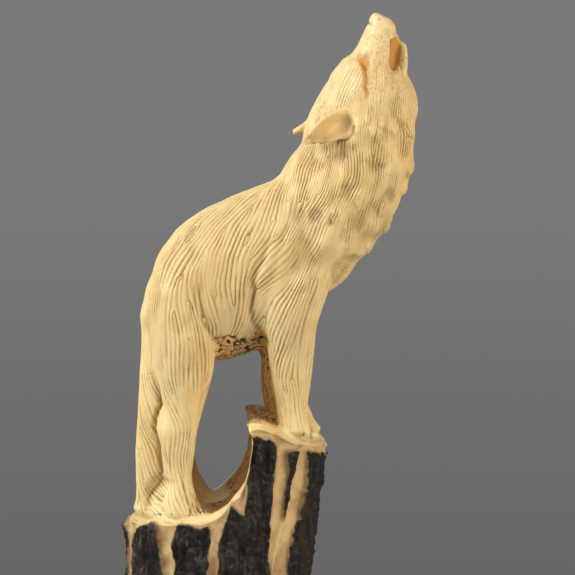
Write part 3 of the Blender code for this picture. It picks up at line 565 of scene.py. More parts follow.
class Surface:
    """The fine mesh while it is carved, with its points in millimetres.

    table lists each point's neighbours, and inwards says how deep each point is going to be cut. The
    heights h and over_ledge, the distance side from the middle plane and the side view flat keep their
    first values while the stump's points move. The regions are shares from 0 to 1.
    """

    def __init__(self, mesh):
        self.points = read_points(mesh)
        self.table = neighbour_table(mesh)
        self.inwards = np.zeros(len(self.points))
        self.h = self.points[:, 2] - LEDGE_Z
        self.over_ledge = self.h - ledge_h(self.points)
        x = self.points[:, 0]
        self.step_wall = smoothstep(1.5, 3.0, x) * smoothstep(8.6, 7.8, x) * smoothstep(22.3, 21.5, self.h)
        self.animal = smoothstep(0.2, 1.6, self.over_ledge) * (1 - self.step_wall)
        self.round_off()
        write_points(mesh, self.points)
        self.normals = read_normals(mesh)
        self.x, self.y = self.points[:, 0], self.points[:, 1]
        self.side = abs(self.y)
        self.flat = side_view(self.points)
        self.flank = smoothstep(3.0, 5.0, self.side)
        self.head = smoothstep(88, 95, self.h)
        self.mane = smoothstep(10, 20, self.x) * smoothstep(46, 54, self.h) * (1 - self.head)
        self.ear_gap, _ = line_distance(self.flat, EAR_LINE)
        self.ear = smoothstep(3.7, 3.1, self.ear_gap) * smoothstep(7.6, 8.6, self.side)
        self.ear *= smoothstep(29.8, 28.4, self.x)
        self.mouth = smoothstep(-0.25, 0.25, inside_distance(self.flat, MOUTH))
        self.mouth = self.mouth * smoothstep(7.0, 6.0, self.side)

    def round_off(self):
        """Smooths away the facets, and the solid's coarse locks, rump and brow under their fine forms."""
        points, table = self.points, self.table
        fleece = smoothstep(3.0, 8.0, self.over_ledge) * smoothstep(93, 86, self.h)
        fleece = fleece * smoothstep(10.5, 9.5, abs(points[:, 1]))
        points = relaxed(points, table, FACET_ROUNDS, 0.6)
        points = relaxed(points, table, FLEECE_ROUNDS, 0.9 * fleece)
        from_rump = np.hypot(points[:, 0] - RUMP[0], points[:, 2] - LEDGE_Z - RUMP[1])
        points = relaxed_near(points, table, RUMP_ROUNDS, 0.95 * smoothstep(8.0, 4.0, from_rump))
        brow_gap, _ = line_distance(side_view(points), BROW_LINE)
        crease = smoothstep(2.6, 1.4, brow_gap) * smoothstep(1.0, 2.0, abs(points[:, 1]))
        points = relaxed_near(points, table, BROW_ROUNDS, 0.9 * crease)
        ear_gap, ear_along = line_distance(side_view(points), EAR_LINE)
        droop = smoothstep(4.2, 3.2, ear_gap) * smoothstep(0.15, 0.8, ear_along)
        droop = droop * smoothstep(9.3, 10.3, abs(points[:, 1]))
        points[:, 2] -= EAR_DROOP * droop
        self.points = points


def carve_stump(surface):
    """Sets the stump's side on its true surface, less the depth of its channels and bark.

    Returns the shares of side wall and bark, how far each point lies inside the bark's edge, and the
    roundness, which is 1 at the stump's side.
    """
    points, normals, x, y = surface.points, surface.normals, surface.x, surface.y
    middle, width, depth = stump_axis(points[:, 2])
    out = np.column_stack([(x - middle) / width, y / depth]).astype(np.float32)
    roundness = np.hypot(out[:, 0], out[:, 1])
    flatness = smoothstep(0.80, 0.97, abs(normals[:, 2]))
    wall = smoothstep(0.6, -0.6, surface.over_ledge) * smoothstep(0.86, 0.92, roundness) * (1 - flatness)
    to_edge = panel_distance(points)
    bark = smoothstep(-BARK_EDGE, BARK_EDGE, to_edge) * wall
    ridge_gap, _ = line_distance(unrolled(points), unrolled_line(CHANNEL_RIDGE))
    to_rim = np.maximum(to_edge, -ridge_gap)
    cove = (1 - np.clip(1 + to_rim / COVE_REACH, 0, 1) ** 2) * smoothstep(0.0, -3.0, surface.over_ledge)

    chosen = np.flatnonzero(wall > 0.05)
    upright = np.tile(np.float32([0, 0, -1]), (len(points), 1))
    upright[:, :2] += 0.25 * value_noise(points, 6.0, 21)[:, None]
    upright = across(points, normals, upright)
    skin = (points, normals, surface.table)
    paths = flow_paths(skin, upright, np.cross(normals, upright), chosen, FLAKE_REACH)
    flakes = drawn_out(paths, chosen, value_noise(points, 0.9, 23))
    rough = value_noise(points, 0.9, 24) + 0.6 * value_noise(points, 0.5, 25)
    bark_in = bark_depth(points) - BARK_FLAKE * flakes - BARK_GRAIN * rough
    ridge = smoothstep(CHANNEL_RIDGE_REACH, 0.0, ridge_gap)
    channel_in = CHANNEL_DEPTH + CHANNEL_COVE * cove - CHANNEL_RIDGE_HEIGHT * ridge
    depth_in = channel_in * (1 - bark) + bark_in * bark

    radius = np.hypot(width * out[:, 0], depth * out[:, 1]) / np.maximum(roundness, 1e-6)
    scale = (1 - depth_in / radius) / np.maximum(roundness, 1e-6)
    target = np.column_stack([middle + (x - middle) * scale, y * scale])
    sunk = np.linalg.norm(points[:, :2] - target, axis=1)
    near_top = smoothstep(-2.0, -0.3, surface.over_ledge) * (1 - surface.animal)
    rim = smoothstep(0.80, 1.0, roundness) * near_top * (1 - wall) * smoothstep(1.5, -1.5, to_edge)
    points[:, :2] -= out * (CHANNEL_DEPTH * rim)[:, None]
    points[:, :2] += (target - points[:, :2]) * (wall * smoothstep(3.5, 2.0, sunk))[:, None]
    lip = LIP_DROP * (1 - 0.85 * smoothstep(-1.8, 0.2, to_edge))
    points[:, 2] -= lip * smoothstep(0.84, 1.03, roundness) * near_top
    points[:, 2] += HOOK_RISE * smoothstep(22.0, 23.4, x) * smoothstep(3.0, 6.0, surface.side) * near_top
    return wall, bark, to_edge, roundness


def find_marrow(surface, roundness):
    """Shares of spongy marrow, and of the pits in it."""
    points, x, y, side = surface.points, surface.x, surface.y, surface.side
    h, over_ledge = surface.h, surface.over_ledge
    ragged = 1.2 * value_noise(points, 1.6, 33) + 0.8 * value_noise(points, 0.7, 34)

    # The web between the fore legs, and the belly
    web = smoothstep(5.2, 3.8, side) * smoothstep(17, 14.5, x) * smoothstep(8.0, 9.6, x)
    web *= smoothstep(49, 45, h) * smoothstep(-0.5, 0.6, over_ledge)
    beneath = surface.normals[:, 2] + 0.12 * ragged
    belly = smoothstep(-0.12, -0.4, beneath) * smoothstep(-7, -4, x) * smoothstep(12, 9, x)
    belly *= smoothstep(27, 31, h) * smoothstep(41.0, 39.6, h + 0.9 * ragged)

    # The ramp up the step, and the top of the block
    hollow_wall = smoothstep(12.5, 10.5, side + 0.4 * ragged) * smoothstep(3.6, 5.2, x + 0.4 * ragged)
    hollow_wall *= np.maximum(smoothstep(1.5, -0.5, y + ragged - 1.2 * (h - 8)), smoothstep(9, 12, h))
    hollow_foot = smoothstep(-12.5, -11.5, y + ragged) * smoothstep(3.0, 0.5, y + 1.5 * ragged)
    hollow_foot *= smoothstep(-3.5, -2, x + 0.5 * ragged)
    ramp = np.maximum(hollow_wall * smoothstep(1.5, 3.5, h), hollow_foot) * smoothstep(1.0, 0.2, over_ledge)
    ramp *= smoothstep(9.0, 7.6, x) * smoothstep(-8, -3, h) * smoothstep(0.95, 0.9, roundness)
    step = surface.step_wall * smoothstep(12.5, 11.0, side + 0.4 * ragged) * smoothstep(1.5, 4.0, h)
    ramp = np.maximum(ramp, step)
    top = smoothstep(8.5, 6.5, side + ragged) + 0.4 * smoothstep(12.5, 11.0, side + 0.5 * ragged)
    top = np.clip(top, 0, 1) * smoothstep(6.0, 7.0, x) * smoothstep(14.5, 12.5, x)
    top *= smoothstep(1.4, 0.5, over_ledge) * smoothstep(18, 19, h)

    marrow = np.clip(web + belly + ramp + top, 0, 1)
    sponge = value_noise(points, 0.9, 31) + 0.6 * value_noise(points, 0.5, 35)
    sponge = sponge + 0.5 * value_noise(points, 1.8, 32)
    pits = smoothstep(0.15, 0.75, sponge + 0.35 * belly - 0.55 * web) * smoothstep(0.5, 0.9, marrow)
    return marrow, pits


def carve_fur(surface, marrow, pits):
    """Cuts the strands, locks, tufts and hollows of the fur, and the marrow's pits.

    Returns the strands' wave, their strength, the share of hair, the depth of its grooves, the mane's
    swell and its hollows.
    """
    points, normals, x, h, animal = surface.points, surface.normals, surface.x, surface.h, surface.animal
    head, mane = surface.head, surface.mane
    snout = smoothstep(97, 101, h)
    hair = animal * (1 - marrow) * (1 - surface.ear) * (1 - 0.55 * head) * (1 - 0.75 * snout)
    hair = hair * (1 - surface.mouth)
    chosen = np.flatnonzero(animal > 0.02)
    way = fur_way(points, normals)
    beside = np.cross(normals, way)
    skin = (points, normals, surface.table)
    along = flow_paths(skin, way, beside, chosen, STRAND_REACH)
    over = flow_paths(skin, beside, beside, chosen, STRAND_SPREAD)
    pitch = TORSO_PITCH + (MANE_PITCH - TORSO_PITCH) * mane + (HEAD_PITCH - TORSO_PITCH) * head
    pitch = pitch * (1 + 0.16 * value_noise(points, 3.4, 6))
    wave, evenness = combed(along, over, chosen, pitch, math.pi * 2 * value_noise(points, 1.0, 3))
    whole = np.zeros(len(points), np.float32)
    whole[chosen] = smoothstep(0.0, 0.10, evenness)
    strength = drawn_out(along, chosen, value_noise(points, 1.2, 5))
    locks = drawn_out(along, chosen, value_noise(points, 3.4, 4))
    broken = (0.35 + 0.35 * mane + 0.25 * head) * value_noise(points * np.float32([1, 1, 0.7]), 1.6, 7)
    hair = hair * (np.clip(0.80 + 0.25 * strength + broken, 0.15, 1.3) * whole)
    groove = (1 - abs(wave.imag)) * hair

    tufts = tuft_relief(points) * animal * smoothstep(0.0, 4.0, surface.side + np.clip(x - 30, 0, 9))
    swell = value_noise(points, 6.0, 8) + 0.5 * value_noise(points, 3.0, 9)
    hollow = np.zeros(len(points), np.float32)
    for hollow_x, hollow_h, half_width, half_height in MANE_HOLLOWS:
        lengthwise = (x - hollow_x + 0.6 * swell) / half_width
        reach = np.hypot(lengthwise, (h - hollow_h - 0.6 * swell) / half_height)
        hollow = np.maximum(hollow, smoothstep(1.3, 0.2, reach))
    lock_height = (0.07 + 0.13 * mane) * np.clip(locks, -2, 2) * animal * (1 - head) * (1 - marrow)
    surface.inwards += STRAND_DEPTH * groove - lock_height
    surface.inwards += PIT_DEPTH * pits - tufts - MANE_SWELL * mane * swell + MANE_HOLLOW_DEPTH * hollow
    return wave, strength, hair, groove, swell, hollow


def carve_head(surface):
    """Cuts the brow, eye hollow, nose and mouth. Returns their shares, and that of the mouth's sliver."""
    x, h, side, flat = surface.x, surface.h, surface.side, surface.flat
    brow_gap, _ = line_distance(flat, BROW_LINE)
    brow_x = x_on(BROW_LINE, flat)
    on_side = smoothstep(2.0, 3.2, side)
    bulge = smoothstep(5.5, 0.4, brow_x - x) * smoothstep(-0.6, 0.3, brow_x - x)
    bulge *= smoothstep(91.0, 94.5, h) * smoothstep(101.5, 99.0, h) * on_side
    brow = smoothstep(1.0, 0.2, brow_gap - 0.4) * smoothstep(-0.3, 0.1, x - brow_x) * on_side
    eye = smoothstep(1.7, 0.4, np.hypot(x - EYE_HOLLOW[0], 0.7 * (h - EYE_HOLLOW[1]))) * on_side
    nose_gap, nose_along = line_distance(flat, NOSE_LINE)
    nose = smoothstep(0.6, 0.0, nose_gap) * (0.5 + 1.6 * smoothstep(0.3, 0.0, nose_along))
    nostril = smoothstep(0.7, 0.2, np.hypot(x - NOSTRIL[0], h - NOSTRIL[1])) * smoothstep(0.9, 1.5, side)
    corner = smoothstep(2.6, 0.3, np.hypot(x - SNOUT_CORNER[0], h - SNOUT_CORNER[1]))
    sliver = smoothstep(0.35, 0.1, line_distance(flat, MOUTH_SLIVER)[0]) * smoothstep(0.8, 1.5, side)
    depth = BROW_DEPTH * brow - BROW_BULGE * bulge + EYE_DEPTH * eye + NOSE_DEPTH * nose
    surface.inwards += depth + NOSTRIL_DEPTH * nostril - SNOUT_CORNER_HEIGHT * corner
    surface.inwards += MOUTH_DEPTH * surface.mouth * smoothstep(0.8, 1.8, side)
    return brow, eye, nose, nostril, sliver


def carve_ears(surface):
    """Hollows the ears' faces, and cuts a line below their bases. Returns the line's share."""
    outward = smoothstep(0.1, 0.6, surface.normals[:, 1] * np.sign(surface.y))
    base_gap, _ = line_distance(surface.flat, EAR_BASE_LINE)
    ear_cut = smoothstep(0.6, 0.0, base_gap) * smoothstep(7.5, 8.5, surface.side)
    hollow = EAR_HOLLOW_DEPTH * smoothstep(3.2, 0.6, surface.ear_gap) * surface.ear * outward
    surface.inwards += hollow + EAR_CUT_DEPTH * ear_cut
    return ear_cut


def carve_legs(surface):
    """Cuts the tail, toes, belly fold and shoulder free, and swells the thigh. Returns the cuts' shares."""
    x, h, side, flat, flank = surface.x, surface.h, surface.side, surface.flat, surface.flank
    tail_gap, tail_along = line_distance(flat, TAIL_LINE)
    behind_tail = x - x_on(TAIL_LINE, flat)
    tail_end = smoothstep(0.66, 0.8, tail_along)
    tail = smoothstep(1.0, 0.0, tail_gap / (1 + 1.4 * tail_end)) * smoothstep(0.0, 0.25, tail_along) * flank
    leg_swell = smoothstep(0.0, 0.4, behind_tail) * smoothstep(4.0, 0.8, behind_tail)
    leg_swell *= smoothstep(0, 3, h) * smoothstep(30, 25, h) * flank * (1 - 2 * smoothstep(9.5, 7.5, h))
    toes = np.zeros(len(x), np.float32)
    for line in HIND_TOE_LINES + FORE_TOE_LINES:
        toe_gap, toe_along = line_distance(flat, line)
        cut = smoothstep(0.6, 0.0, toe_gap) * smoothstep(0.0, 0.4, toe_along)
        toes = np.maximum(toes, cut * smoothstep(6.0, 8.0, side) * surface.animal)
    fold = smoothstep(0.7, 0.0, line_distance(flat, BELLY_FOLD)[0]) * flank
    shoulder_gap, shoulder_along = line_distance(flat, SHOULDER_LINE)
    shoulder = smoothstep(1.1, 0.0, shoulder_gap) * smoothstep(0.0, 0.35, shoulder_along) * flank
    depth = (TAIL_DEPTH - TAIL_END_RISE * tail_end) * tail - LEG_SWELL * leg_swell + TOE_DEPTH * toes
    surface.inwards += depth + FOLD_DEPTH * fold + SHOULDER_DEPTH * shoulder
    return tail, toes, fold, shoulder


def cut_inwards(mesh, surface):
    """Moves each point to its depth and keeps the sawn face flat. Returns the new points and normals."""
    points = surface.points - surface.normals * surface.inwards[:, None]
    sawn = (points[:, 2] < 0.4) & (surface.normals[:, 2] < -0.7)
    points[:, 2] = np.where(sawn, 0.0, np.maximum(points[:, 2], 0.0))
    write_points(mesh, points)
    return points, read_normals(mesh)


def carve(mesh):
    """Carves the fine copy. Returns the surface's finishes, with its painted shade, highlights and warm
    light, as values at each point.
    """
    surface = Surface(mesh)
    wall, bark, to_edge, roundness = carve_stump(surface)
    marrow, pits = find_marrow(surface, roundness)
    wave, strength, hair, groove, swell, mane_hollow = carve_fur(surface, marrow, pits)
    brow, eye, nose, nostril, sliver = carve_head(surface)
    ear_cut = carve_ears(surface)
    tail, toes, fold, shoulder = carve_legs(surface)
    x, h, animal, mouth = surface.x, surface.h, surface.animal, surface.mouth
    spared = (surface.normals * (SPARED_DEPTH * groove * animal)[:, None]).astype(np.float32)
    points, normals = cut_inwards(mesh, surface)

    near = relaxed(points, surface.table, 4)
    far = relaxed(near, surface.table, 24)
    fine = np.einsum("ij,ij->i", near - points, normals)
    broad = np.einsum("ij,ij->i", far - points, normals)
    torso = smoothstep(30, 38, h) * smoothstep(76, 68, h) * smoothstep(24, 16, x) * surface.flank
    # Painted shade: brown along the cut lines of nose, ear base, mouth, tail, toes and nostril, and the
    # mouth's dark sliver.
    cut = 0.35 * nose + 0.45 * ear_cut + 0.5 * mouth * smoothstep(101.5, 98, h) + 0.4 * tail
    cut = cut + 0.35 * toes + 0.5 * nostril + sliver
    shade = 0.6 * surface.mane * smoothstep(0.0, 0.9, -swell) + mane_hollow
    shade = shade + 0.25 * fold + 0.25 * shoulder + 0.45 * torso
    stipple = smoothstep(30.5, 33, x) * surface.head * smoothstep(107.5, 105, h) * (1 - mouth)

    layer = mesh.attributes.new("spared", "FLOAT_VECTOR", "POINT")
    layer.data.foreach_set("vector", spared.ravel())
    write_points(mesh, points - spared)
    return {
        "strand_sine": wave.imag,
        "strand_cosine": wave.real,
        "hair": hair * np.clip(0.8 + 0.2 * strength, 0.2, 1.2),
        # Painted shade: brown in the fine crevices, away from the bark.
        "crevice_shade": smoothstep(0.03, 0.16, fine) * (1 - bark),
        # Painted shade: darker in broad hollows, mostly on the animal.
        "hollow": smoothstep(0.05, 0.42, broad) * (0.3 + 0.7 * animal),
        # Painted highlight: convex crests, later lightened towards cream.
        "crest_highlight": smoothstep(-0.02, -0.12, fine),
        "marrow": marrow,
        "bark": bark,
        "channel": wall * (1 - bark),
        "pits": pits,
        "ear": surface.ear,
        # Painted shade along the cut lines and in the mouth's sliver.
        "cut": np.clip(cut, 0, 1),
        # Painted warm light: honey on surfaces of the animal's front that face +X.
        "front_warm_light": np.clip(0.5 * smoothstep(0.4, 1.0, normals[:, 0]) * animal * smoothstep(6, 14, x), 0, 1),
        # Painted shade: amber in the brow crease, the eye hollow and the mouth.
        "amber_shade": np.clip(0.6 * brow + 0.6 * eye + 0.9 * mouth, 0, 1),
        "shade": np.clip(shade, 0, 1),
        "edge": smoothstep(-0.9, 0.0, to_edge) * wall * (1 - bark),
        "stipple": stipple,
    }


def lift_grooves(mesh):
    """Moves the grooves back to their own depth after the mesh is thinned out."""
    spared = np.empty(len(mesh.vertices) * 3, np.float32)
    mesh.attributes["spared"].data.foreach_get("vector", spared)
    write_points(mesh, read_points(mesh) + spared.reshape(-1, 3))
    mesh.attributes.remove(mesh.attributes["spared"])


def write_values(mesh, values):
    for name, value in values.items():
        layer = mesh.attributes.new(name, "FLOAT", "POINT")
        layer.data.foreach_set("value", value.astype(np.float32))


def split_pieces(whole):
    """The animal and the stump as two closed meshes with matching rims, and their normals."""
    mesh = whole.data
    points = read_points(mesh)
    normals = read_normals(mesh)
    layer = mesh.attributes.new("normal_kept", "FLOAT_VECTOR", "POINT")
    layer.data.foreach_set("vector", normals.ravel())
    h = points[:, 2] - LEDGE_Z
    shifted = points[:, 0] - LEDGE_SKEW * points[:, 1]
    floor = np.where((shifted > 2.2) & (shifted < 9.5), 24.0, ledge_h(points) + 0.6)
    above = h > floor
    pieces = []
    for name, wanted in (("wolf_carving", True), ("antler_stump", False)):
        bm = bmesh.new()
        bm.from_mesh(mesh)
        bm.verts.ensure_lookup_table()
        unwanted = [f for f in bm.faces if all(above[v.index] for v in f.verts) != wanted]
        bmesh.ops.delete(bm, geom=unwanted, context="FACES")
        rims = [e for e in bm.edges if e.is_boundary]
        filled = bmesh.ops.holes_fill(bm, edges=rims, sides=0)["faces"]
        bmesh.ops.triangulate(bm, faces=filled)
        for face in bm.faces:
            face.smooth = True
        made = bpy.data.meshes.new(name)
        bm.to_mesh(made)
        bm.free()
        made.validate()
        kept = np.empty(len(made.vertices) * 3, np.float32)
        made.attributes["normal_kept"].data.foreach_get("vector", kept)
        made.attributes.remove(made.attributes["normal_kept"])
        kept = kept.reshape(-1, 3)
        kept /= np.maximum(np.linalg.norm(kept, axis=1), 1e-6)[:, None]
        made.normals_split_custom_set_from_vertices(kept.tolist())
        piece = bpy.data.objects.new(name, made)
        bpy.context.scene.collection.objects.link(piece)
        pieces.append(piece)
    bpy.data.objects.remove(whole)
    return pieces


class Nodes:
    """Short calls for building a material's nodes."""

    def __init__(self, tree):
        self.tree = tree

    def add(self, kind, inputs=(), **settings):
        node = self.tree.nodes.new(kind)
        for key, value in settings.items():
            setattr(node, key, value)
        for key, value in dict(inputs).items():
            if isinstance(value, bpy.types.NodeSocket):
                self.tree.links.new(value, node.inputs[key])
            else:
                node.inputs[key].default_value = value
        return node

    def value(self, name):
        return self.add("ShaderNodeAttribute", attribute_name=name).outputs["Fac"]

    def maths(self, operation, first, second=0.0, third=0.0):
        inputs = {0: first, 1: second, 2: third}
        return self.add("ShaderNodeMath", inputs, operation=operation).outputs[0]

    def noise(self, place, size, detail=3.0, roughness=0.55):
        """Noise from 0 to 1 with features of that size in millimetres."""
        inputs = {"Vector": place, "Scale": 1 / (size * MM), "Detail": detail, "Roughness": roughness}
        return self.add("ShaderNodeTexNoise", inputs).outputs["Fac"]

    def steps(self, value, low, high):
        """0 below low and 1 above high, with a smooth rise between."""
        inputs = {"Value": value, "From Min": low, "From Max": high}
        return self.add("ShaderNodeMapRange", inputs, interpolation_type="SMOOTHSTEP").outputs["Result"]

    def mix(self, share, first, second):
        node = self.add("ShaderNodeMix", data_type="RGBA")
        for socket, value in (("Factor_Float", share), ("A_Color", first), ("B_Color", second)):
            target = next(s for s in node.inputs if s.identifier == socket)
            if isinstance(value, bpy.types.NodeSocket):
                self.tree.links.new(value, target)
            else:
                target.default_value = value
        return next(s for s in node.outputs if s.identifier == "Result_Color")


def antler_material():
    """Cream antler with brown in its grooves, spongy brown marrow, tan channels and near-black bark, plus
    painted shade, highlights, warm light and sheen.
    """
    material = bpy.data.materials.new("carved_antler")
    material.use_nodes = True
    tree = material.node_tree
    nodes = Nodes(tree)
    shader = tree.nodes["Principled BSDF"]
    place = nodes.add("ShaderNodeTexCoord").outputs["Object"]

    cream = (0.86, 0.71, 0.38, 1)
    ivory = (0.84, 0.62, 0.28, 1)
    honey = (0.76, 0.46, 0.14, 1)
    tan = (0.46, 0.29, 0.13, 1)
    brown = (0.30, 0.145, 0.045, 1)
    # Colour of the painted shade in the brow crease, eye hollow and mouth.
    amber_shade = (0.62, 0.30, 0.055, 1)
    marrow_light = (0.60, 0.33, 0.115, 1)
    marrow_dark = (0.085, 0.034, 0.010, 1)
    channel_light = (0.70, 0.50, 0.25, 1)
    channel_dark = (0.36, 0.21, 0.095, 1)
    bark_black = (0.006, 0.005, 0.004, 1)
    bark_brown = (0.026, 0.012, 0.006, 1)
    # Grey of the bark's flecks and of its painted sheen.
    bark_grey_sheen = (0.085, 0.085, 0.088, 1)
    dot_brown = (0.52, 0.30, 0.11, 1)

    # The fur's grooves are where the strands' sine is 0.
    sine = nodes.value("strand_sine")
    cosine = nodes.value("strand_cosine")
    square = nodes.maths("MULTIPLY_ADD", sine, sine, nodes.maths("MULTIPLY", cosine, cosine))
    length = nodes.maths("SQRT", square)
    strand = nodes.maths("DIVIDE", nodes.maths("ABSOLUTE", sine), nodes.maths("MAXIMUM", length, 0.05))
    hair = nodes.value("hair")

    broad = nodes.noise(place, 22, 2)
    medium = nodes.noise(place, 5, 4)
    speck = nodes.noise(place, 0.8, 3)
    colour = nodes.mix(nodes.steps(broad, 0.35, 0.7), cream, ivory)
    colour = nodes.mix(nodes.maths("MULTIPLY", nodes.steps(medium, 0.45, 0.75), 0.45), colour, honey)
    colour = nodes.mix(nodes.maths("MULTIPLY", nodes.value("ear"), 0.3), colour, honey)
    # Painted shade: broad hollows are darkened towards channel_dark.
    colour = nodes.mix(nodes.maths("MULTIPLY", nodes.value("hollow"), 0.55), colour, channel_dark)
    channel = nodes.mix(nodes.steps(medium, 0.35, 0.75), channel_light, channel_dark)
    colour = nodes.mix(nodes.value("channel"), colour, channel)
    groove = nodes.maths("MULTIPLY", nodes.steps(strand, 0.7, 0.0), hair)
    patchy = nodes.steps(nodes.noise(place, 1.5, 3), 0.30, 0.62)
    groove_share = nodes.maths("MULTIPLY", groove, nodes.maths("MULTIPLY_ADD", patchy, 0.36, 0.26))
    colour = nodes.mix(groove_share, colour, brown)
    # Painted shade: the fine crevices are mixed towards brown.
    colour = nodes.mix(nodes.maths("MULTIPLY", nodes.value("crevice_shade"), 0.38), colour, brown)
    # Painted warm light: surfaces facing the front are mixed towards honey.
    colour = nodes.mix(nodes.maths("MULTIPLY", nodes.value("front_warm_light"), 0.6), colour, honey)
    colour = nodes.mix(nodes.maths("MULTIPLY", nodes.value("shade"), 0.55), colour, tan)
    colour = nodes.mix(nodes.maths("MULTIPLY", nodes.value("edge"), 0.5), colour, brown)
    speckle = nodes.steps(nodes.noise(place, 0.55, 1), 0.50, 0.66)
    dots = nodes.maths("MULTIPLY", speckle, nodes.value("stipple"))
    colour = nodes.mix(nodes.maths("MULTIPLY", dots, 0.5), colour, dot_brown)
    # Painted shade in the brow crease, eye hollow and mouth.
    colour = nodes.mix(nodes.value("amber_shade"), colour, amber_shade)
    # Painted shade: the cut lines are mixed towards brown.
    colour = nodes.mix(nodes.maths("MULTIPLY", nodes.value("cut"), 0.8), colour, brown)
    sponge = nodes.mix(nodes.steps(speck, 0.32, 0.52), marrow_dark, marrow_light)
    colour = nodes.mix(nodes.value("marrow"), colour, sponge)
    colour = nodes.mix(nodes.value("pits"), colour, marrow_dark)
    # Painted highlight: convex crests are mixed towards cream.
    crest_highlight = nodes.maths("MULTIPLY", nodes.value("crest_highlight"), 0.5)
    colour = nodes.mix(crest_highlight, colour, cream)
    upright = nodes.add("ShaderNodeMapping", {"Vector": place, "Scale": (1.0, 1.0, 0.3)}).outputs["Vector"]
    streaks = nodes.noise(upright, 1.3, 5, 0.65)
    bark = nodes.mix(nodes.steps(medium, 0.45, 0.7), bark_black, bark_brown)
    # Grey streaks on the bark: partly its grey flecks, partly painted sheen, strongest on the left panels,
    # which face the key light.
    aside = nodes.add("ShaderNodeSeparateXYZ", {0: place}).outputs["X"]
    left_side_sheen = nodes.maths("MULTIPLY_ADD", nodes.steps(aside, -14 * MM, 0.0), -0.7, 1.0)
    bark = nodes.mix(nodes.maths("MULTIPLY", nodes.steps(streaks, 0.50, 0.74), left_side_sheen), bark, bark_grey_sheen)
    colour = nodes.mix(nodes.value("bark"), colour, bark)
    tree.links.new(colour, shader.inputs["Base Color"])

    rough = nodes.maths("MULTIPLY_ADD", groove, 0.25, 0.40)
    rough = nodes.maths("MULTIPLY_ADD", nodes.value("marrow"), 0.35, rough)
    rough = nodes.maths("MULTIPLY_ADD", nodes.value("bark"), 0.02, rough)
    tree.links.new(rough, shader.inputs["Roughness"])
    shader.inputs["Specular IOR Level"].default_value = 0.32
    shader.inputs["Subsurface Weight"].default_value = 0.15
    shader.inputs["Subsurface Radius"].default_value = (1.0, 0.45, 0.2)
    shader.inputs["Subsurface Scale"].default_value = 1.0 * MM

    ridge = nodes.maths("MULTIPLY", strand, hair)
    grain = nodes.noise(place, 0.45, 4)
    scales = nodes.maths("MULTIPLY", streaks, nodes.maths("MULTIPLY", nodes.value("bark"), 5.0))
    grain_share = nodes.maths("MULTIPLY_ADD", nodes.value("bark"), 1.5, 0.15)
    fine = nodes.maths("MULTIPLY_ADD", grain, grain_share, scales)
    height = nodes.maths("SUBTRACT", nodes.maths("ADD", ridge, fine), nodes.maths("MULTIPLY", dots, 0.35))
    bump = nodes.add("ShaderNodeBump", {"Strength": 0.8, "Distance": 0.12 * MM, "Height": height})
    tree.links.new(bump.outputs["Normal"], shader.inputs["Normal"])
    return material


def floor_material():
    material = bpy.data.materials.new("pale_floor")
    material.use_nodes = True
    nodes = Nodes(material.node_tree)
    shader = material.node_tree.nodes["Principled BSDF"]
    place = nodes.add("ShaderNodeTexCoord").outputs["Object"]
    colour = nodes.mix(nodes.noise(place, 60, 2), (0.52, 0.52, 0.51, 1), (0.56, 0.56, 0.55, 1))
    material.node_tree.links.new(colour, shader.inputs["Base Color"])
    shader.inputs["Roughness"].default_value = 0.8
    return material


def add_floor():
    bm = bmesh.new()
    bmesh.ops.create_circle(bm, cap_ends=True, segments=128, radius=FLOOR_RADIUS * MM)
    mesh = bpy.data.meshes.new("floor")
    bm.to_mesh(mesh)
    bm.free()
    mesh.materials.append(floor_material())
    made = bpy.data.objects.new("floor", mesh)
    bpy.context.scene.collection.objects.link(made)
    made.location.z = -FLOOR_GAP * MM


def direction(azimuth, elevation):
    """From the object towards a viewer. Azimuth 0 is the near side, and 90 is the wolf's front."""
    a, e = math.radians(azimuth), math.radians(elevation)
    return Vector((math.sin(a) * math.cos(e), -math.cos(a) * math.cos(e), math.sin(e)))


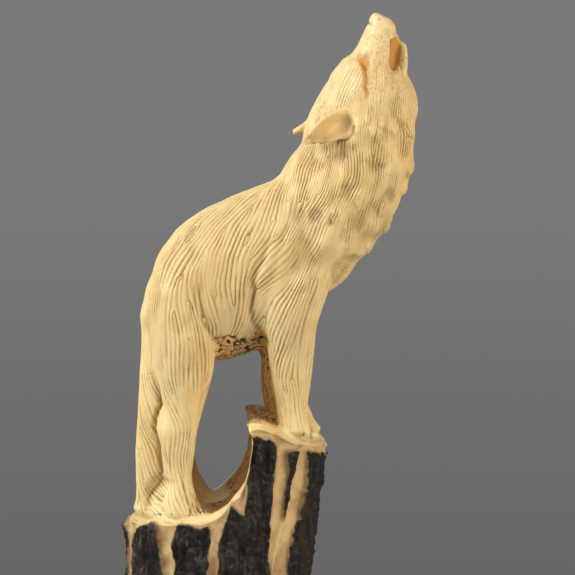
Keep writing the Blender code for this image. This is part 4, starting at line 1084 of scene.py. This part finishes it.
def add_camera():
    camera = bpy.data.objects.new("camera", bpy.data.cameras.new("camera"))
    camera.data.lens = CAMERA_LENS
    camera.data.sensor_width = CAMERA_SENSOR
    back = direction(CAMERA_AZIMUTH, CAMERA_ELEVATION)
    camera.location = CAMERA_TARGET + back * CAMERA_DISTANCE
    camera.rotation_mode = "QUATERNION"
    camera.rotation_quaternion = (-back).to_track_quat("-Z", "Y")
    bpy.context.scene.collection.objects.link(camera)
    bpy.context.scene.camera = camera


def add_light(name, azimuth, elevation, distance, size, watts, colour):
    light = bpy.data.objects.new(name, bpy.data.lights.new(name, "AREA"))
    light.data.shape = "DISK"
    light.data.size = size
    light.data.energy = watts
    light.data.color = colour
    back = direction(azimuth, elevation)
    light.location = CAMERA_TARGET + back * distance
    light.rotation_mode = "QUATERNION"
    light.rotation_quaternion = (-back).to_track_quat("-Z", "Y")
    bpy.context.scene.collection.objects.link(light)


def add_world():
    """Soft light all round, and a grey background that darkens below."""
    world = bpy.data.worlds.new("studio")
    world.use_nodes = True
    tree = world.node_tree
    tree.nodes.clear()
    nodes = Nodes(tree)
    seen = nodes.add("ShaderNodeLightPath").outputs["Is Camera Ray"]
    place = nodes.add("ShaderNodeTexCoord").outputs["Generated"]
    height = nodes.add("ShaderNodeSeparateXYZ", {0: place}).outputs["Z"]
    low_to_high = nodes.steps(height, -0.23, -0.09)
    backdrop = nodes.mix(low_to_high, (0.13, 0.13, 0.13, 1), (0.195, 0.195, 0.197, 1))
    colour = nodes.mix(seen, (0.165, 0.165, 0.165, 1), backdrop)
    lit = nodes.add("ShaderNodeBackground", {"Color": colour, "Strength": 1.0})
    out = nodes.add("ShaderNodeOutputWorld")
    tree.links.new(lit.outputs[0], out.inputs["Surface"])
    bpy.context.scene.world = world


def main():
    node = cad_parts["howling_wolf"]
    whole = fine_copy(node)
    values = carve(whole.data)
    write_values(whole.data, values)
    coarse = whole.modifiers.new("coarse", "DECIMATE")
    coarse.ratio = min(1.0, MOST_TRIANGLES / (2 * len(whole.data.polygons)))
    apply_modifiers(whole)
    lift_grooves(whole.data)
    pieces = split_pieces(whole)
    material = antler_material()
    for piece in pieces:
        piece.data.materials.clear()
        piece.data.materials.append(material)
        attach(piece, "root")
        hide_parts("howling_wolf")
    add_floor()
    add_world()
    for light in LIGHTS:
        add_light(*light)
    add_camera()
    bpy.context.scene.view_settings.view_transform = "Standard"


main()
